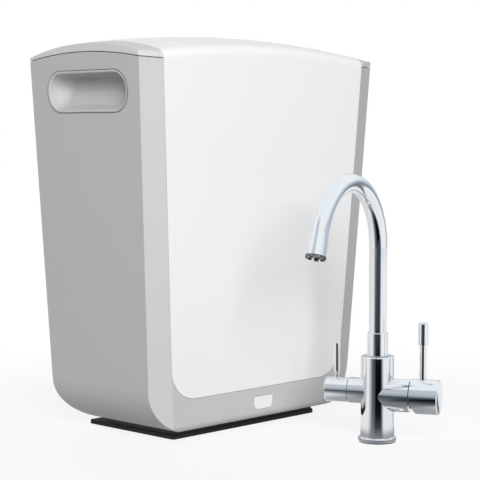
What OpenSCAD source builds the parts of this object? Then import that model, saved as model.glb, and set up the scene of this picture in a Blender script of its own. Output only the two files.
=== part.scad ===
// Under-sink reverse osmosis unit with its three-way tap.
// The origin is on the floor under the middle of the unit, with the front facing -Y and +Z up.

/* [Casing] */
// Casing width across the lid seam
case_w = 382; // [372:1:400]
// How much narrower the casing is at floor level
case_taper = 56; // [44:1:62]
// Casing depth across the lid seam
case_d = 190; // [186:1:204]
// Height of the lid seam at the casing's corners
seam_z = 420; // [412:1:440]
// Height of the lid's crown above the seam corners
crown_rise = 30; // [28:0.5:36]
// Drop of the crown from the middle to each end
crown_drop = 13.5; // [8:0.5:14.5]
// Rise of the crown from its front edge to its middle
crown_arch = 13; // [10:0.5:16]
// Rise of the lid seam along each end
seam_arch = 7.5; // [5:0.5:9]
// Lean of the front face in degrees
front_lean = 2.15; // [1.5:0.05:2.6]
// Lean of the rear wall in degrees
rear_lean = 0.85; // [0.4:0.05:1.2]
// Thickness of the housing and front frame walls
wall = 3; // [2.6:0.1:3.4]
// Clear height under the casing
case_lift = 11; // [8:0.5:13]
// Radius of the lower corners seen from the front
corner_r = 54; // [46:1:58]
// Radius of the lower rear edge
rear_edge_r = 42; // [34:1:46]
// Radius of the lower front edge
front_edge_r = 9; // [7:0.5:12]
// Radius along the front top edge
brow_r = 12; // [9:0.5:16]
// Width of each angled front strip
strip_w = 27.6; // [24:0.2:32]
// Depth that each angled front strip falls back
strip_d = 9.5; // [7:0.5:12]
// Gap of the lid seam
seam_gap = 0.9; // [0.6:0.1:1.4]

/* [Front cover and lid] */
// Thickness of the white front cover
cover_t = 3; // [2.4:0.1:3.6]
// Height of the cover's lower edge
cover_z = 47.3; // [44:0.1:54]
// Radius of the cover's lower corners
cover_corner_r = 37; // [28:1:42]
// Gap around the edge of the cover
cover_gap = 0.4; // [0.3:0.05:0.6]
// Grey band of lid left behind the cover
lid_band = 15; // [12:1:24]
// Thickness of the lid
lid_t = 5.8; // [5.4:0.1:6.6]
// Width of each tab under the cover
tab_w = 30; // [20:1:40]
// Length that each tab reaches below the cover
tab_len = 9; // [6:0.5:11]
// Distance of the tabs from the middle
tab_x = 75; // [60:1:90]

/* [Carrying pockets] */
// Length of the pocket's rim
grip_w = 133; // [120:1:140]
// Height of the pocket's rim
grip_h = 46.5; // [45:0.5:53]
// Height of the pocket's middle
grip_z = 384.6; // [378:0.1:390]
// Depth of the pocket at its upper edge
grip_depth = 28; // [24:1:32]
// Width of the rim around the pocket
grip_rim = 3.5; // [3:0.5:5]
// Height that the rim stands proud of the casing
rim_proud = 0.8; // [0.5:0.1:1.2]
// Wall of the pocket
grip_wall = 2.4; // [2:0.1:2.8]

/* [Status button] */
// Width of the button
button_w = 30; // [26:1:36]
// Height of the button
button_h = 15; // [12:0.5:17]
// Sideways place of the button
button_x = 6; // [-10:1:10]
// Height of the button's middle
button_z = 29.5; // [27:0.5:31]
// Travel of the button
button_travel = 1.5; // [1:0.1:1.7]

/* [Base] */
// Width of the foot plate
foot_w = 236; // [220:1:240]
// Front edge of the foot plate, behind the middle of the unit
foot_front = 60; // [54:1:64]
// Rear edge of the foot plate
foot_rear = 83; // [70:1:86]
// Thickness of the foot plate
foot_t = 4.5; // [3:0.5:6]

/* [Chassis] */
// Room behind the chassis panel, up to the rear of the casing at the lid seam
panel_room = 34; // [33:0.5:35]
// Thickness of chassis walls
chassis_t = 3; // [2.6:0.1:3.4]
// Height of the chassis shelf's top face
shelf_z = 44; // [43:0.5:46]
// Height of the top of the chassis panel
panel_top = 330; // [320:1:345]

/* [Cartridges] */
// Spacing of the cartridges
cartridge_pitch = 62; // [62:0.5:64]
// Sideways place of the middle cartridge
cartridge_x = 44; // [42:0.5:44]
// Distance of the cartridges in front of the chassis panel
cartridge_reach = 70; // [68:0.5:72]
// Radius of a cartridge body
cartridge_r = 29; // [26:0.5:29]
// Length of a cartridge body above the manifold
cartridge_len = 240; // [200:1:250]
// Radius of the cartridge necks
neck_r = 19.95; // [18:0.05:20.5]
// Depth of the sockets for the necks
socket_depth = 24; // [20:1:26]
// Height of the manifold block
manifold_h = 38; // [36:1:40]

/* [Pump and valves] */
// Sideways place of the pump
pump_x = -104; // [-106:0.5:-103]
// Distance of the pump in front of the chassis panel
pump_reach = 62; // [60:0.5:64]
// Width of the pump head
pump_w = 66; // [62:1:68]
// Height of the pump head
pump_h = 44; // [40:1:50]
// Radius of the pump motor
motor_r = 27.5; // [25:0.5:28]
// Length of the pump motor
motor_len = 92; // [80:1:96]
// Height of the inlet valve
valve_z = 232; // [228:1:250]

/* [Rear ports] */
// Outside radius of the water tubes
tube_r = 3.175; // [3:0.025:3.2]
// Clearance between a tube and its bore
tube_clear = 0.125; // [0.1:0.025:0.2]
// Height of the row of rear ports
port_z = 68; // [66:0.5:70]
// Spacing of the rear ports
port_pitch = 73; // [70:0.5:74]
// Travel of a release collet
collet_travel = 1.2; // [0.8:0.1:1.4]

/* [Tap column] */
// Place of the tap from the middle of the unit
tap_x = 34.7; // [20:0.1:60]
// Place of the tap in front of the unit
tap_y = -226; // [-260:1:-224]
// Turn of the tap about its column in degrees
tap_turn = -64; // [-75:1:-55]
// Radius of the base ring
base_ring_r = 21; // [20.5:0.1:24]
// Height of the base ring
base_ring_h = 6; // [5:0.5:8]
// Radius of the tap column
column_r = 18.5; // [18.5:0.1:20]
// Height of the top of the column
column_top = 95; // [94:1:110]
// Height of the mixer valve's axis
valve_axis_z = 52; // [50:0.5:54]

/* [Spout] */
// Radius of the spout tube
spout_r = 9.9; // [9.5:0.1:10.4]
// Wall of the spout tube
spout_wall = 1.5; // [1.2:0.1:1.8]
// Height where the bend begins
bend_z = 214; // [190:1:230]
// Radius of the bend
bend_r = 73; // [64:1:80]
// Angle of the bend in degrees
bend_angle = 161; // [150:1:176]
// Swing of the spout at rest in degrees
spout_rest = -12; // [-25:0.5:15]
// Length of the straight, flared tip
tip_len = 24; // [14:0.5:32]
// How much the tip widens towards its end
tip_flare = 1.7; // [0.3:0.1:2.2]
// Notches around the rim of the outlet
notch_count = 8; // [6:1:10]
// Radius of the collar under the spout
collar_r = 11.5; // [11.4:0.1:12.5]
// Height of the collar
collar_h = 26; // [20:1:30]

/* [Mixer side] */
// Radius of the mixer boss
mixer_boss_r = 18; // [17.5:0.1:18.2]
// Distance from the column axis to the end of the mixer boss
mixer_boss_end = 37; // [36:0.5:40]
// Radius of the mixer knob
mixer_knob_r = 19; // [18.5:0.1:20]
// Length of the mixer knob
mixer_knob_len = 31; // [30:0.5:34]
// Tilt of the mixer lever in degrees
mixer_tilt = 22; // [16:1:24]
// Radius of the mixer lever's rod
mixer_rod_r = 3.7; // [3.2:0.1:4.2]
// Radius of the mixer lever's grip
mixer_grip_r = 5.5; // [5:0.1:6.5]
// Length of the rod above the valve axis
mixer_rod_len = 57; // [50:1:65]
// Length of the grip
mixer_grip_len = 24; // [20:1:30]

/* [Filtered water side] */
// Radius of the filtered water boss
filter_boss_r = 14.2; // [13.5:0.1:15]
// Height of the filtered water valve's axis
filter_axis_z = 55.5; // [53:0.5:58]
// Distance from the column axis to the end of the boss
filter_boss_end = 31.5; // [30:0.5:36]
// Radius of the filtered water knob
filter_knob_r = 13.6; // [13:0.1:14.5]
// Length of the knob
filter_knob_len = 26; // [24:0.5:30]
// Radius of the lever
filter_rod_r = 3.4; // [3:0.1:4]
// Length of the lever above the valve axis
filter_rod_len = 52.5; // [46:0.5:60]

/* [Hidden] */
$fn = 64;

light_grey = "#c9cacb";
mid_grey = "#a9abad";
white = "#f4f4f4";
black = "#141414";
chrome = "#d8dde2";
board_green = "#2f6b46";
tube_white = "#eef1f4";
brass = "#b79a56";

// Small clearances shared by pieces that seat on each other
seat_gap = 0.2;
running_gap = 0.05;
bulge = 0.01;

// Casing form
side_lean = atan(case_taper / 2 / seam_z);
crown_z = seam_z + crown_rise;
above = crown_z + 40;
below = -60;
edge_spare = 0.3;
rear_spare = 2;
roof_lift = 0.03;
function half_w(z) = case_w / 2 - (seam_z - z) * tan(side_lean);
function front_y(z) = -case_d / 2 + (seam_z - z) * tan(front_lean);
function rear_y(z) = case_d / 2 - (seam_z - z) * tan(rear_lean);
function chord_r(half_chord, rise) = (half_chord * half_chord + rise * rise) / (2 * rise);
function crown_at(x, y) = crown_z - x * x / (2 * crown_r) - y * y / (2 * arch_r);
function cover_boss_end(p) = crown_at(p.x, p.y) - lid_t - seat_gap - screw_drop;
arch_r = chord_r(case_d / 2, crown_arch);
crown_r = chord_r(case_w / 2, crown_drop);
crown_axis_z = crown_z * cos(front_lean) - crown_r;
crown_sweep = 16;
seam_front = -case_d / 2 + strip_d;
seam_r = chord_r((case_d / 2 - seam_front) / 2, seam_arch);
strip_normal = unit(cross([strip_w, -strip_d, 0], [-tan(side_lean), -tan(front_lean), 1]));

// Roofed outline of the casing seen from the side, before its arch is cut
roof_angle = asin((case_d / 2 - brow_r) / arch_r);
roof_reach = cos(roof_angle) * (crown_z - arch_r) + arch_r + roof_lift;
front_normal = [-cos(front_lean), -sin(front_lean)];
front_reach = front_normal * [-case_d / 2, seam_z];
rear_normal = [cos(rear_lean), -sin(rear_lean)];
rear_reach = rear_normal * [case_d / 2, seam_z] + rear_spare;
roof_front = [-sin(roof_angle), cos(roof_angle)];
roof_rear = [sin(roof_angle), cos(roof_angle)];
roofed_outline = [
    [front_y(below), below],
    [rear_y(below) + rear_spare, below],
    meet(rear_normal, rear_reach, roof_rear, roof_reach),
    meet(roof_front, roof_reach, roof_rear, roof_reach),
    meet(front_normal, front_reach, roof_front, roof_reach)];

// Cover fixings
cover_end_y = case_d / 2 - lid_band;
cover_screw_places = [[-110, -46], [110, -46], [-110, 42], [110, 42]];
cover_boss_r = 3.6;
cover_head_r = cover_boss_r + 1.8;
cover_head_t = 1.8;
screw_drop = 1;
screw_r = 1.4;
bed_inset = cover_t + seat_gap;
skirt_h = 6;
frame_gap = 0.1;
tongue_len = 9;
tongue_t = 2;
tongue_from = wall + 2 * seat_gap + tongue_t;
lip_w = 6;

// Carrying pocket form
pocket_w = grip_w - 2 * grip_rim;
pocket_h = grip_h - 2 * grip_rim;
pocket_r = pocket_h / 2 - 1;
pocket_lip = 0.8;
scoop_back = (pocket_h * pocket_h - grip_depth * grip_depth + pocket_lip * pocket_lip)
    / (2 * (grip_depth - pocket_lip));
scoop_r = scoop_back + grip_depth;

// Button fixings
button_low_r = 6;
button_top_r = 2;
button_proud = 0.4;
button_flange = 1.6;
button_flange_t = 1.3;
board_t = 1.6;
board_depth = wall + seat_gap + button_flange_t + button_travel + 4.4;
switch_h = 3.6;
switch_w = 6;
post_r = 2.6;
post_x = button_w / 2 + 5;
post_edge = 4;

// Chassis and what stands on it
floor_z = case_lift + wall;
plate_t = 4;
plate_half = half_w(case_lift) - corner_r - 5;
plate_front = -50;
plate_rear = 40;
rib_xs = [4 - plate_half, -4, plate_half - 4];
rib_margin = 4;
shelf_t = 4;
shelf_left = -150;
shelf_right = 140;
shelf_front = -54;
panel_y = case_d / 2 - panel_room;
panel_front = panel_y - chassis_t;
arm_r = 4;
chassis_screw_places = [[-90, -36], [90, -36], [-90, 30], [90, 30]];
foot_corner_r = 4;
plinth_margin = 2;
plinth_rear = 46;

// Manifold and cartridges
cartridge_places = [for (i = [-1 : 1]) cartridge_x + i * cartridge_pitch];
cartridge_y = panel_front - cartridge_reach;
manifold_left = cartridge_places[0] - 42;
manifold_right = cartridge_places[2] + 32;
manifold_front = cartridge_y - 40;
manifold_rear = cartridge_y + 48;
manifold_top = shelf_z + manifold_h;
socket_r = neck_r + running_gap;
socket_z = manifold_top - socket_depth;
flange_z = manifold_top + 0.4;
flange_t = 4.8;
flange_r = cartridge_r + 1.6;
lug_r = flange_r + 4.2;
lug_half = 20;
claw_half = 25;
claw_r = lug_r + 0.6;
claw_t = 3.6;
claw_lip_z = flange_z + flange_t + 0.3;
claw_top = claw_lip_z + 4;
cartridge_top = flange_z + flange_t + cartridge_len;
seal_r = 0.8;
seal_z = socket_z + 11;

// Pump and tubes
pump_y = panel_front - pump_reach;
stub_at = 26;
tube_plane = pump_y + stub_at;
mount_h = 7;
mount_r = 6;
mount_at = 36;
bracket_t = 2.5;
bracket_half = 42;
pump_z = shelf_z + mount_h + bracket_t;
pump_top = pump_z + pump_h;
stub_r = 5.5;
stub_h = 6;
tube_bore_r = tube_r + tube_clear;
tube_wall = 1;
tube_bend = 9;
tube_entry = 8;
pump_in_x = pump_x - stub_at;
pump_out_x = pump_x + stub_at;
delivery_x = manifold_left + 7;
delivery_rise = 34;
delivery_z = pump_top + delivery_rise;
inlet_valve_x = pump_x + 12;
valve_half = 20;
valve_d = 28;
valve_h = 24;
valve_stub = 4;
valve_end = valve_half + valve_stub;
inlet_coil_r = 15;
inlet_coil_h = 30;
flush_z = port_z;
flush_w = 26;
flush_d = 20;
flush_coil_r = 9.5;
flush_coil_h = 26;

// Control board and power supply on the rear of the panel
electric_z = 240;
control_x = 75;
control_w = 110;
control_h = 120;
control_stand = 6;
stand_margin = 8;
supply_x = -70;
supply_w = 100;
supply_h = 110;
supply_d = 20;
slot_w = 3;
slot_pitch = 10;
slot_margin = 14;

// Rear ports
feed_x = -40;
port_xs = [for (i = [0 : 2]) feed_x + i * port_pitch];
port_r = 8;
port_flange_r = 12;
port_flange_t = 4;
port_nose = 16;
port_inner = 24;
port_seat_y = rear_y(port_z) + 0.9;
port_nut_y = rear_y(port_z) - wall - 0.9;
collet_r = 5.55;
collet_len = 8;
collet_spare = 0.4;
collet_head_t = 1.6;
collet_head_r = 7;
tube_stop = 10;
port_end_y = port_seat_y + port_flange_t + port_nose;
inlet_x = -100;
inlet_w = 26;
inlet_h = 18;
inlet_d = 20;

// Tap
seal_t = 1.2;
chamber_r = 13.5;
chamber_top = 26;
hose_r = 3.5;
hose_wall = 1.1;
hose_at = 8.2;
hose_depth = 10;
stud_r = 2.5;
stud_wall = 0.8;
socket_top_r = 10.5;
spigot_r = 8.95;
spigot_len = 22;
bush_len = 21;
mixer_bore_r = 14;
mixer_bore_from = 14;
spindle_r = 8;
pivot_x = mixer_boss_end + 11;
knob_gap = 1.2;
knob_from = mixer_boss_end + knob_gap;
knob_end = knob_from + mixer_knob_len;
knob_cavity_r = 16;
tongue_half = 3;
pin_r = 2;
lever_at = 12.4;
lever_x = knob_from + lever_at;
filter_bore_r = 9;
filter_knob_from = filter_boss_end + 0.8;
filter_lever_x = filter_boss_end + 14.5;
filter_spindle_r = 4;

function unit(v) = v / norm(v);
function inward(p, q) = let (e = unit(q - p)) [-e.y, e.x];
function before(i, n) = (i + n - 1) % n;
function after(i, n) = (i + 1) % n;
function half_angle(p, q, r) = acos(unit(p - q) * unit(r - q)) / 2;
// Crossing of two lines, each given by its normal and its reach along it
function meet(n1, c1, n2, c2) =
    let (det = n1.x * n2.y - n1.y * n2.x)
    [(c1 * n2.y - c2 * n1.y) / det, (n1.x * c2 - n2.x * c1) / det];
function inset_points(points, d) =
    let (n = len(points))
    [for (i = [0 : n - 1])
        let (
            a = inward(points[before(i, n)], points[i]),
            b = inward(points[i], points[after(i, n)]))
        points[i] + (a + b) * d / (1 + a * b)];

// Convex outline with rounded corners, drawn in by d
module round_outline(outline, radii, d = 0) {
    points = inset_points(outline, d);
    n = len(points);
    rounds = [for (r = radii) r > 0 ? max(r - d, 0) : 0];
    runs = [for (i = [0 : n - 1])
        rounds[i] / tan(half_angle(points[before(i, n)], points[i], points[after(i, n)]))];
    polygon([for (i = [0 : n - 1])
        let (p = points[before(i, n)], q = points[i], r = points[after(i, n)])
        each (rounds[i] > 0 ? [q + unit(p - q) * runs[i], q + unit(r - q) * runs[i]] : [q])]);
    for (i = [0 : n - 1])
        if (rounds[i] > 0) {
            p = points[before(i, n)];
            q = points[i];
            r = points[after(i, n)];
            translate(q + unit(unit(p - q) + unit(r - q)) * rounds[i] / sin(half_angle(p, q, r)))
                circle(rounds[i] + bulge);
        }
}

module round_rect(w, h, r) {
    round_outline([[-w / 2, -h / 2], [w / 2, -h / 2], [w / 2, h / 2], [-w / 2, h / 2]], [r, r, r, r]);
}

// Box with rounded upright edges between two heights
module round_block(x, y, w, d, r, z0, z1) {
    translate([x, y, z0])
        linear_extrude(z1 - z0)
            round_rect(w, d, r);
}

module ring(outer, inner, z0, z1) {
    translate([0, 0, z0])
        difference() {
            cylinder(r = outer, h = z1 - z0);
            translate([0, 0, -1]) cylinder(r = inner, h = z1 - z0 + 2);
        }
}

// Cylinder along +X or +Y between two places
module bar_x(r, x0, x1) {
    translate([x0, 0, 0]) rotate([0, 90, 0]) cylinder(r = r, h = x1 - x0);
}

module bar_y(r, y0, y1) {
    translate([0, y0, 0]) rotate([-90, 0, 0]) cylinder(r = r, h = y1 - y0);
}

// Casing forms

module side_profile(d) {
    intersection() {
        round_outline(roofed_outline, [0, 0, 0, 0, brow_r], d);
        translate([0, crown_z - arch_r]) circle(arch_r - d, $fn = 400);
    }
}

// Block with the flat front face and the crown arched both ways
module crowned_block(d) {
    rotate([front_lean, 0, 0])
        translate([0, 0, crown_axis_z])
            rotate(a = 240, v = [1, 1, 1])
                rotate_extrude(angle = 2 * crown_sweep, start = -crown_sweep, $fn = 400)
                    translate([-crown_axis_z, 0])
                        mirror([1, -1])
                            rotate(-front_lean)
                                side_profile(d);
}

module front_view(d) {
    low = case_lift - edge_spare;
    high = above + 20;
    rotate([90, 0, 0])
        linear_extrude(3 * case_d, center = true)
            round_outline(
                [[-half_w(low), low], [half_w(low), low], [half_w(high), high], [-half_w(high), high]],
                [corner_r, corner_r, 0, 0], d);
}

module side_view(d, spare) {
    rotate([90, 0, 90])
        linear_extrude(2 * case_w, center = true)
            round_outline(
                [[front_y(case_lift) - spare, case_lift], [rear_y(case_lift), case_lift],
                [rear_y(above), above], [front_y(above) - spare, above]],
                [front_edge_r, rear_edge_r, 0, 0], d);
}

module strip_cut(d) {
    translate([-case_w / 2, seam_front, seam_z])
        rotate([0, acos(strip_normal.z), atan2(strip_normal.y, strip_normal.x)])
            translate([-2 * seam_z, -2 * seam_z, -d])
                cube([4 * seam_z, 4 * seam_z, case_d]);
}

// The whole casing as one solid, with every face drawn in by d
module casing(d) {
    difference() {
        intersection() {
            front_view(d);
            side_view(d, edge_spare);
            crowned_block(d);
        }
        strip_cut(d);
        mirror([1, 0, 0]) strip_cut(d);
    }
}

// The casing's walls carried straight up, for the pieces below the lid
module open_casing(d) {
    difference() {
        intersection() {
            front_view(d);
            side_view(d, 0);
        }
        strip_cut(d);
        mirror([1, 0, 0]) strip_cut(d);
    }
}

module wall_shell(outer, inner) {
    difference() {
        open_casing(outer);
        open_casing(inner);
    }
}

// Everything under the arched lid seam, grown by a gap
module seam_drum(grow) {
    translate([0, (seam_front + case_d / 2) / 2, seam_z + seam_arch - seam_r])
        rotate([0, 90, 0])
            cylinder(r = seam_r + grow, h = 2 * case_w, center = true, $fn = 400);
}

// Everything in front of a plane that lies behind the front face
module front_slab(depth) {
    translate([0, -case_d / 2, seam_z])
        rotate([front_lean, 0, 0])
            translate([-case_w, -case_d, -2 * seam_z])
                cube([2 * case_w, case_d + depth, 4 * seam_z]);
}

// The white cover's outline, carried from the front to the cover's rear end
module cover_prism(grow) {
    edge = strip_w / cos(side_lean);
    low = cover_z;
    translate([0, cover_end_y + grow, 0])
        rotate([90, 0, 0])
            linear_extrude(cover_end_y + case_d)
                round_outline(
                    [[edge - half_w(low), low], [half_w(low) - edge, low],
                    [half_w(above) - edge, above], [edge - half_w(above), above]],
                    [cover_corner_r, cover_corner_r, 0, 0], -grow);
}

module on_front(x, z) {
    translate([x, front_y(z), z]) rotate([front_lean, 0, 0]) children();
}

module on_side(y, z) {
    translate([-half_w(z), y, z]) rotate([0, -side_lean, 0]) children();
}

module both_sides() {
    children();
    mirror([1, 0, 0]) children();
}

// Flat plate in the front face's own plane, from depth y0 to y1
module front_plate(w, h, r, y0, y1) {
    translate([0, y1, 0]) rotate([90, 0, 0]) linear_extrude(y1 - y0) round_rect(w, h, r);
}

// The button's outline, grown by a margin, with rounder corners below
module button_plate(grow, y0, y1) {
    w = button_w / 2 + grow;
    h = button_h / 2 + grow;
    low = button_low_r + grow;
    top = button_top_r + grow;
    translate([0, y1, 0])
        rotate([90, 0, 0])
            linear_extrude(y1 - y0)
                round_outline([[-w, -h], [w, -h], [w, h], [-w, h]], [low, low, top, top]);
}

// Casing pieces

module grip_prism(w, h, r, x0, x1) {
    translate([x0, 0, 0]) rotate([90, 0, 90]) linear_extrude(x1 - x0) round_rect(w, h, r);
}

module grip_hole() {
    on_side(0, grip_z)
        grip_prism(pocket_w + 2 * grip_wall + 2 * seat_gap, pocket_h + 2 * grip_wall + 2 * seat_gap,
            pocket_r + grip_wall, -wall, 3 * wall);
}

module port_seats(r, y0, y1) {
    for (x = port_xs)
        translate([x, 0, port_z]) bar_y(r, y0, y1);
}

module inlet_block(spare, y0, y1) {
    translate([inlet_x, y1, port_z])
        rotate([90, 0, 0])
            linear_extrude(y1 - y0)
                round_rect(inlet_w + 2 * spare, inlet_h + 2 * spare, 3);
}

module floor_holes(r, z0, z1) {
    for (p = chassis_screw_places)
        translate([p.x, p.y, z0]) cylinder(r = r, h = z1 - z0);
}

module housing() {
    color(mid_grey)
        difference() {
            union() {
                intersection() {
                    wall_shell(0, wall);
                    seam_drum(-seam_gap / 2);
                }
                port_seats(port_flange_r + 1.5, port_nut_y, port_seat_y);
                inlet_block(5, port_nut_y, port_seat_y);
            }
            front_slab(strip_d + frame_gap / 2);
            both_sides() grip_hole();
            port_seats(port_r + seat_gap, port_nut_y - wall, port_seat_y + wall);
            inlet_block(seat_gap, port_nut_y - wall, port_seat_y + wall);
            floor_holes(screw_r + seat_gap, 0, floor_z + 1);
        }
}

module frame_tongue() {
    intersection() {
        wall_shell(wall + seat_gap, wall + seat_gap + tongue_t);
        difference() {
            front_slab(strip_d + tongue_len);
            front_slab(tongue_from);
        }
    }
    intersection() {
        wall_shell(wall - seat_gap, wall + seat_gap + tongue_t);
        difference() {
            front_slab(strip_d - seat_gap);
            front_slab(tongue_from);
        }
    }
}

// Ledges behind the cover's two long edges
module frame_lips() {
    intersection() {
        union() {
            intersection() {
                wall_shell(cover_t - seat_gap, cover_t + seat_gap + tongue_t);
                difference() {
                    cover_prism(lip_w);
                    cover_prism(cover_gap);
                }
            }
            intersection() {
                wall_shell(cover_t + seat_gap, cover_t + seat_gap + tongue_t);
                difference() {
                    cover_prism(lip_w);
                    cover_prism(-lip_w);
                }
            }
        }
        translate([-case_w, -case_d, cover_z + cover_corner_r]) cube([2 * case_w, case_d, 2 * seam_z]);
        front_slab(strip_d - seat_gap);
    }
}

module button_posts(r, y0, y1) {
    for (x = [-post_x, post_x])
        translate([x, 0, 0]) bar_y(r, y0, y1);
}

module front_frame() {
    color(light_grey)
        difference() {
            union() {
                difference() {
                    intersection() {
                        wall_shell(0, wall);
                        front_slab(strip_d - frame_gap / 2);
                        seam_drum(-seam_gap / 2);
                    }
                    cover_prism(cover_gap);
                }
                intersection() {
                    difference() {
                        frame_tongue();
                        cover_prism(lip_w);
                    }
                    seam_drum(-seam_gap);
                }
                intersection() {
                    frame_lips();
                    seam_drum(-seam_gap);
                }
                on_front(button_x, button_z) button_posts(post_r, wall / 2, board_depth);
            }
            on_front(button_x, button_z) button_plate(cover_gap, -wall, 2 * wall);
        }
}

module lid() {
    color(light_grey) {
        difference() {
            // Full lid with the bed for the white cover sunk into it
            difference() {
                difference() {
                    casing(0);
                    seam_drum(seam_gap / 2);
                }
                difference() {
                    cover_prism(cover_gap);
                    casing(bed_inset);
                }
            }
            casing(lid_t);
            for (p = cover_screw_places)
                translate([p.x, p.y, seam_z]) cylinder(r = cover_boss_r + 2 * seat_gap, h = 2 * crown_rise);
        }
        // Skirt that locates the lid inside the housing's walls
        difference() {
            intersection() {
                wall_shell(wall + 2 * seat_gap, lid_t - seat_gap);
                seam_drum(2 * seam_gap);
            }
            seam_drum(-skirt_h);
            front_slab(strip_d + tongue_len + wall);
        }
    }
}

module front_cover() {
    color(white)
        difference() {
            union() {
                intersection() {
                    difference() {
                        casing(0);
                        casing(cover_t);
                    }
                    cover_prism(0);
                }
                // Tabs that reach down behind the front frame
                for (s = [-1, 1])
                    intersection() {
                        union() {
                            wall_shell(wall + 2 * seat_gap, wall + 2 * seat_gap + tongue_t);
                            intersection() {
                                wall_shell(cover_t - seat_gap, wall + 2 * seat_gap + tongue_t / 2);
                                cover_prism(-seat_gap);
                            }
                        }
                        translate([s * tab_x - tab_w / 2, -case_d, cover_z - tab_len])
                            cube([tab_w, case_d, 2 * tab_len]);
                    }
                for (p = cover_screw_places)
                    intersection() {
                        casing(cover_t - seat_gap);
                        translate([p.x, p.y, cover_boss_end(p)])
                            cylinder(r = cover_boss_r, h = 2 * lid_t);
                    }
            }
            for (p = cover_screw_places)
                translate([p.x, p.y, crown_at(p.x, p.y) - 2 * lid_t])
                    cylinder(r = screw_r, h = 2 * lid_t - cover_t + 1);
        }
}

module cover_screws() {
    color(chrome)
        for (p = cover_screw_places)
            translate([p.x, p.y, cover_boss_end(p) - seat_gap]) {
                translate([0, 0, -cover_head_t]) cylinder(r = cover_head_r, h = cover_head_t);
                translate([0, 0, -cover_head_t / 2])
                    cylinder(r = screw_r - running_gap, h = lid_t - cover_t + screw_drop);
            }
}

module grip_cup() {
    color(mid_grey)
        on_side(0, grip_z)
            difference() {
                union() {
                    grip_prism(grip_w, grip_h, grip_h / 2 - 1, -rim_proud, 0);
                    intersection() {
                        grip_prism(pocket_w + 2 * grip_wall, pocket_h + 2 * grip_wall, pocket_r + grip_wall,
                            -rim_proud / 2, grip_depth + grip_wall);
                        translate([-scoop_back, 0, pocket_h / 2])
                            rotate([90, 0, 0])
                                cylinder(r = scoop_r + grip_wall, h = 2 * grip_w, center = true);
                    }
                }
                intersection() {
                    grip_prism(pocket_w, pocket_h, pocket_r, -2 * rim_proud, grip_depth + grip_wall);
                    translate([-scoop_back, 0, pocket_h / 2])
                        rotate([90, 0, 0])
                            cylinder(r = scoop_r, h = 2 * grip_w, center = true);
                }
            }
}

module left_grip_cup() { grip_cup(); }

module right_grip_cup() { mirror([1, 0, 0]) grip_cup(); }

module foot_block(margin, rear, z0, z1) {
    depth = rear + foot_front - 2 * margin;
    round_block(0, (rear - foot_front) / 2, foot_w - 2 * margin, depth, foot_corner_r - margin, z0, z1);
}

module base_plinth() {
    color(black)
        difference() {
            foot_block(plinth_margin, plinth_rear, foot_t, case_lift);
            floor_holes(screw_r, foot_t - 1, case_lift + 1);
        }
}

module foot_plate() {
    color(black) foot_block(0, foot_rear, 0, foot_t);
}

module status_button() {
    back = wall + seat_gap + button_flange_t;
    color(white)
        on_front(button_x, button_z) {
            button_plate(0, -button_proud, back);
            button_plate(button_flange, wall + seat_gap, back);
        }
}

module button_board() {
    color(board_green)
        on_front(button_x, button_z) {
            front_plate(2 * (post_x + post_edge), button_h, 1, board_depth, board_depth + board_t);
            front_plate(switch_w, switch_w, 0.5, board_depth - switch_h, board_depth);
        }
}

// Chassis and water path

module chassis() {
    color(light_grey)
        difference() {
            union() {
                round_block(0, (plate_front + plate_rear) / 2, 2 * plate_half, plate_rear - plate_front, 6,
                    floor_z, floor_z + plate_t);
                translate([shelf_left, shelf_front, shelf_z - shelf_t])
                    cube([shelf_right - shelf_left, panel_y - shelf_front, shelf_t]);
                translate([shelf_left, panel_front, shelf_z - shelf_t])
                    cube([shelf_right - shelf_left, chassis_t, panel_top - shelf_z + shelf_t]);
                for (x = rib_xs)
                    translate([x - chassis_t / 2, plate_front + rib_margin, floor_z])
                        cube([chassis_t, plate_rear - plate_front - 2 * rib_margin, shelf_z - floor_z - shelf_t / 2]);
                // Arms that carry the inlet valve
                for (s = [-1, 1])
                    translate([inlet_valve_x + s * valve_half / 2, 0, valve_z])
                        bar_y(arm_r, tube_plane + valve_d / 2, panel_front + 1);
            }
            floor_holes(screw_r + seat_gap, floor_z - 1, floor_z + plate_t + 1);
            for (x = port_xs)
                translate([x, 0, port_z]) bar_y(port_r, panel_front - 1, panel_y + 1);
        }
}

module chassis_screws() {
    color(chrome)
        for (p = chassis_screw_places)
            translate([p.x, p.y, 0]) {
                translate([0, 0, foot_t + 0.5]) cylinder(r = screw_r - running_gap, h = floor_z + plate_t - foot_t);
                translate([0, 0, floor_z + plate_t]) cylinder(r = 2 * screw_r, h = 2);
            }
}

module at_cartridge(i) {
    translate([cartridge_places[i], cartridge_y, 0]) children();
}

// Part ring between two radii and heights, centred on the +Y direction
module sector(inner, outer, z0, z1, half) {
    rotate_extrude(angle = 2 * half, start = 90 - half)
        translate([inner, z0]) square([outer - inner, z1 - z0]);
}

module fore_and_aft() {
    children();
    rotate(180) children();
}

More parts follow.
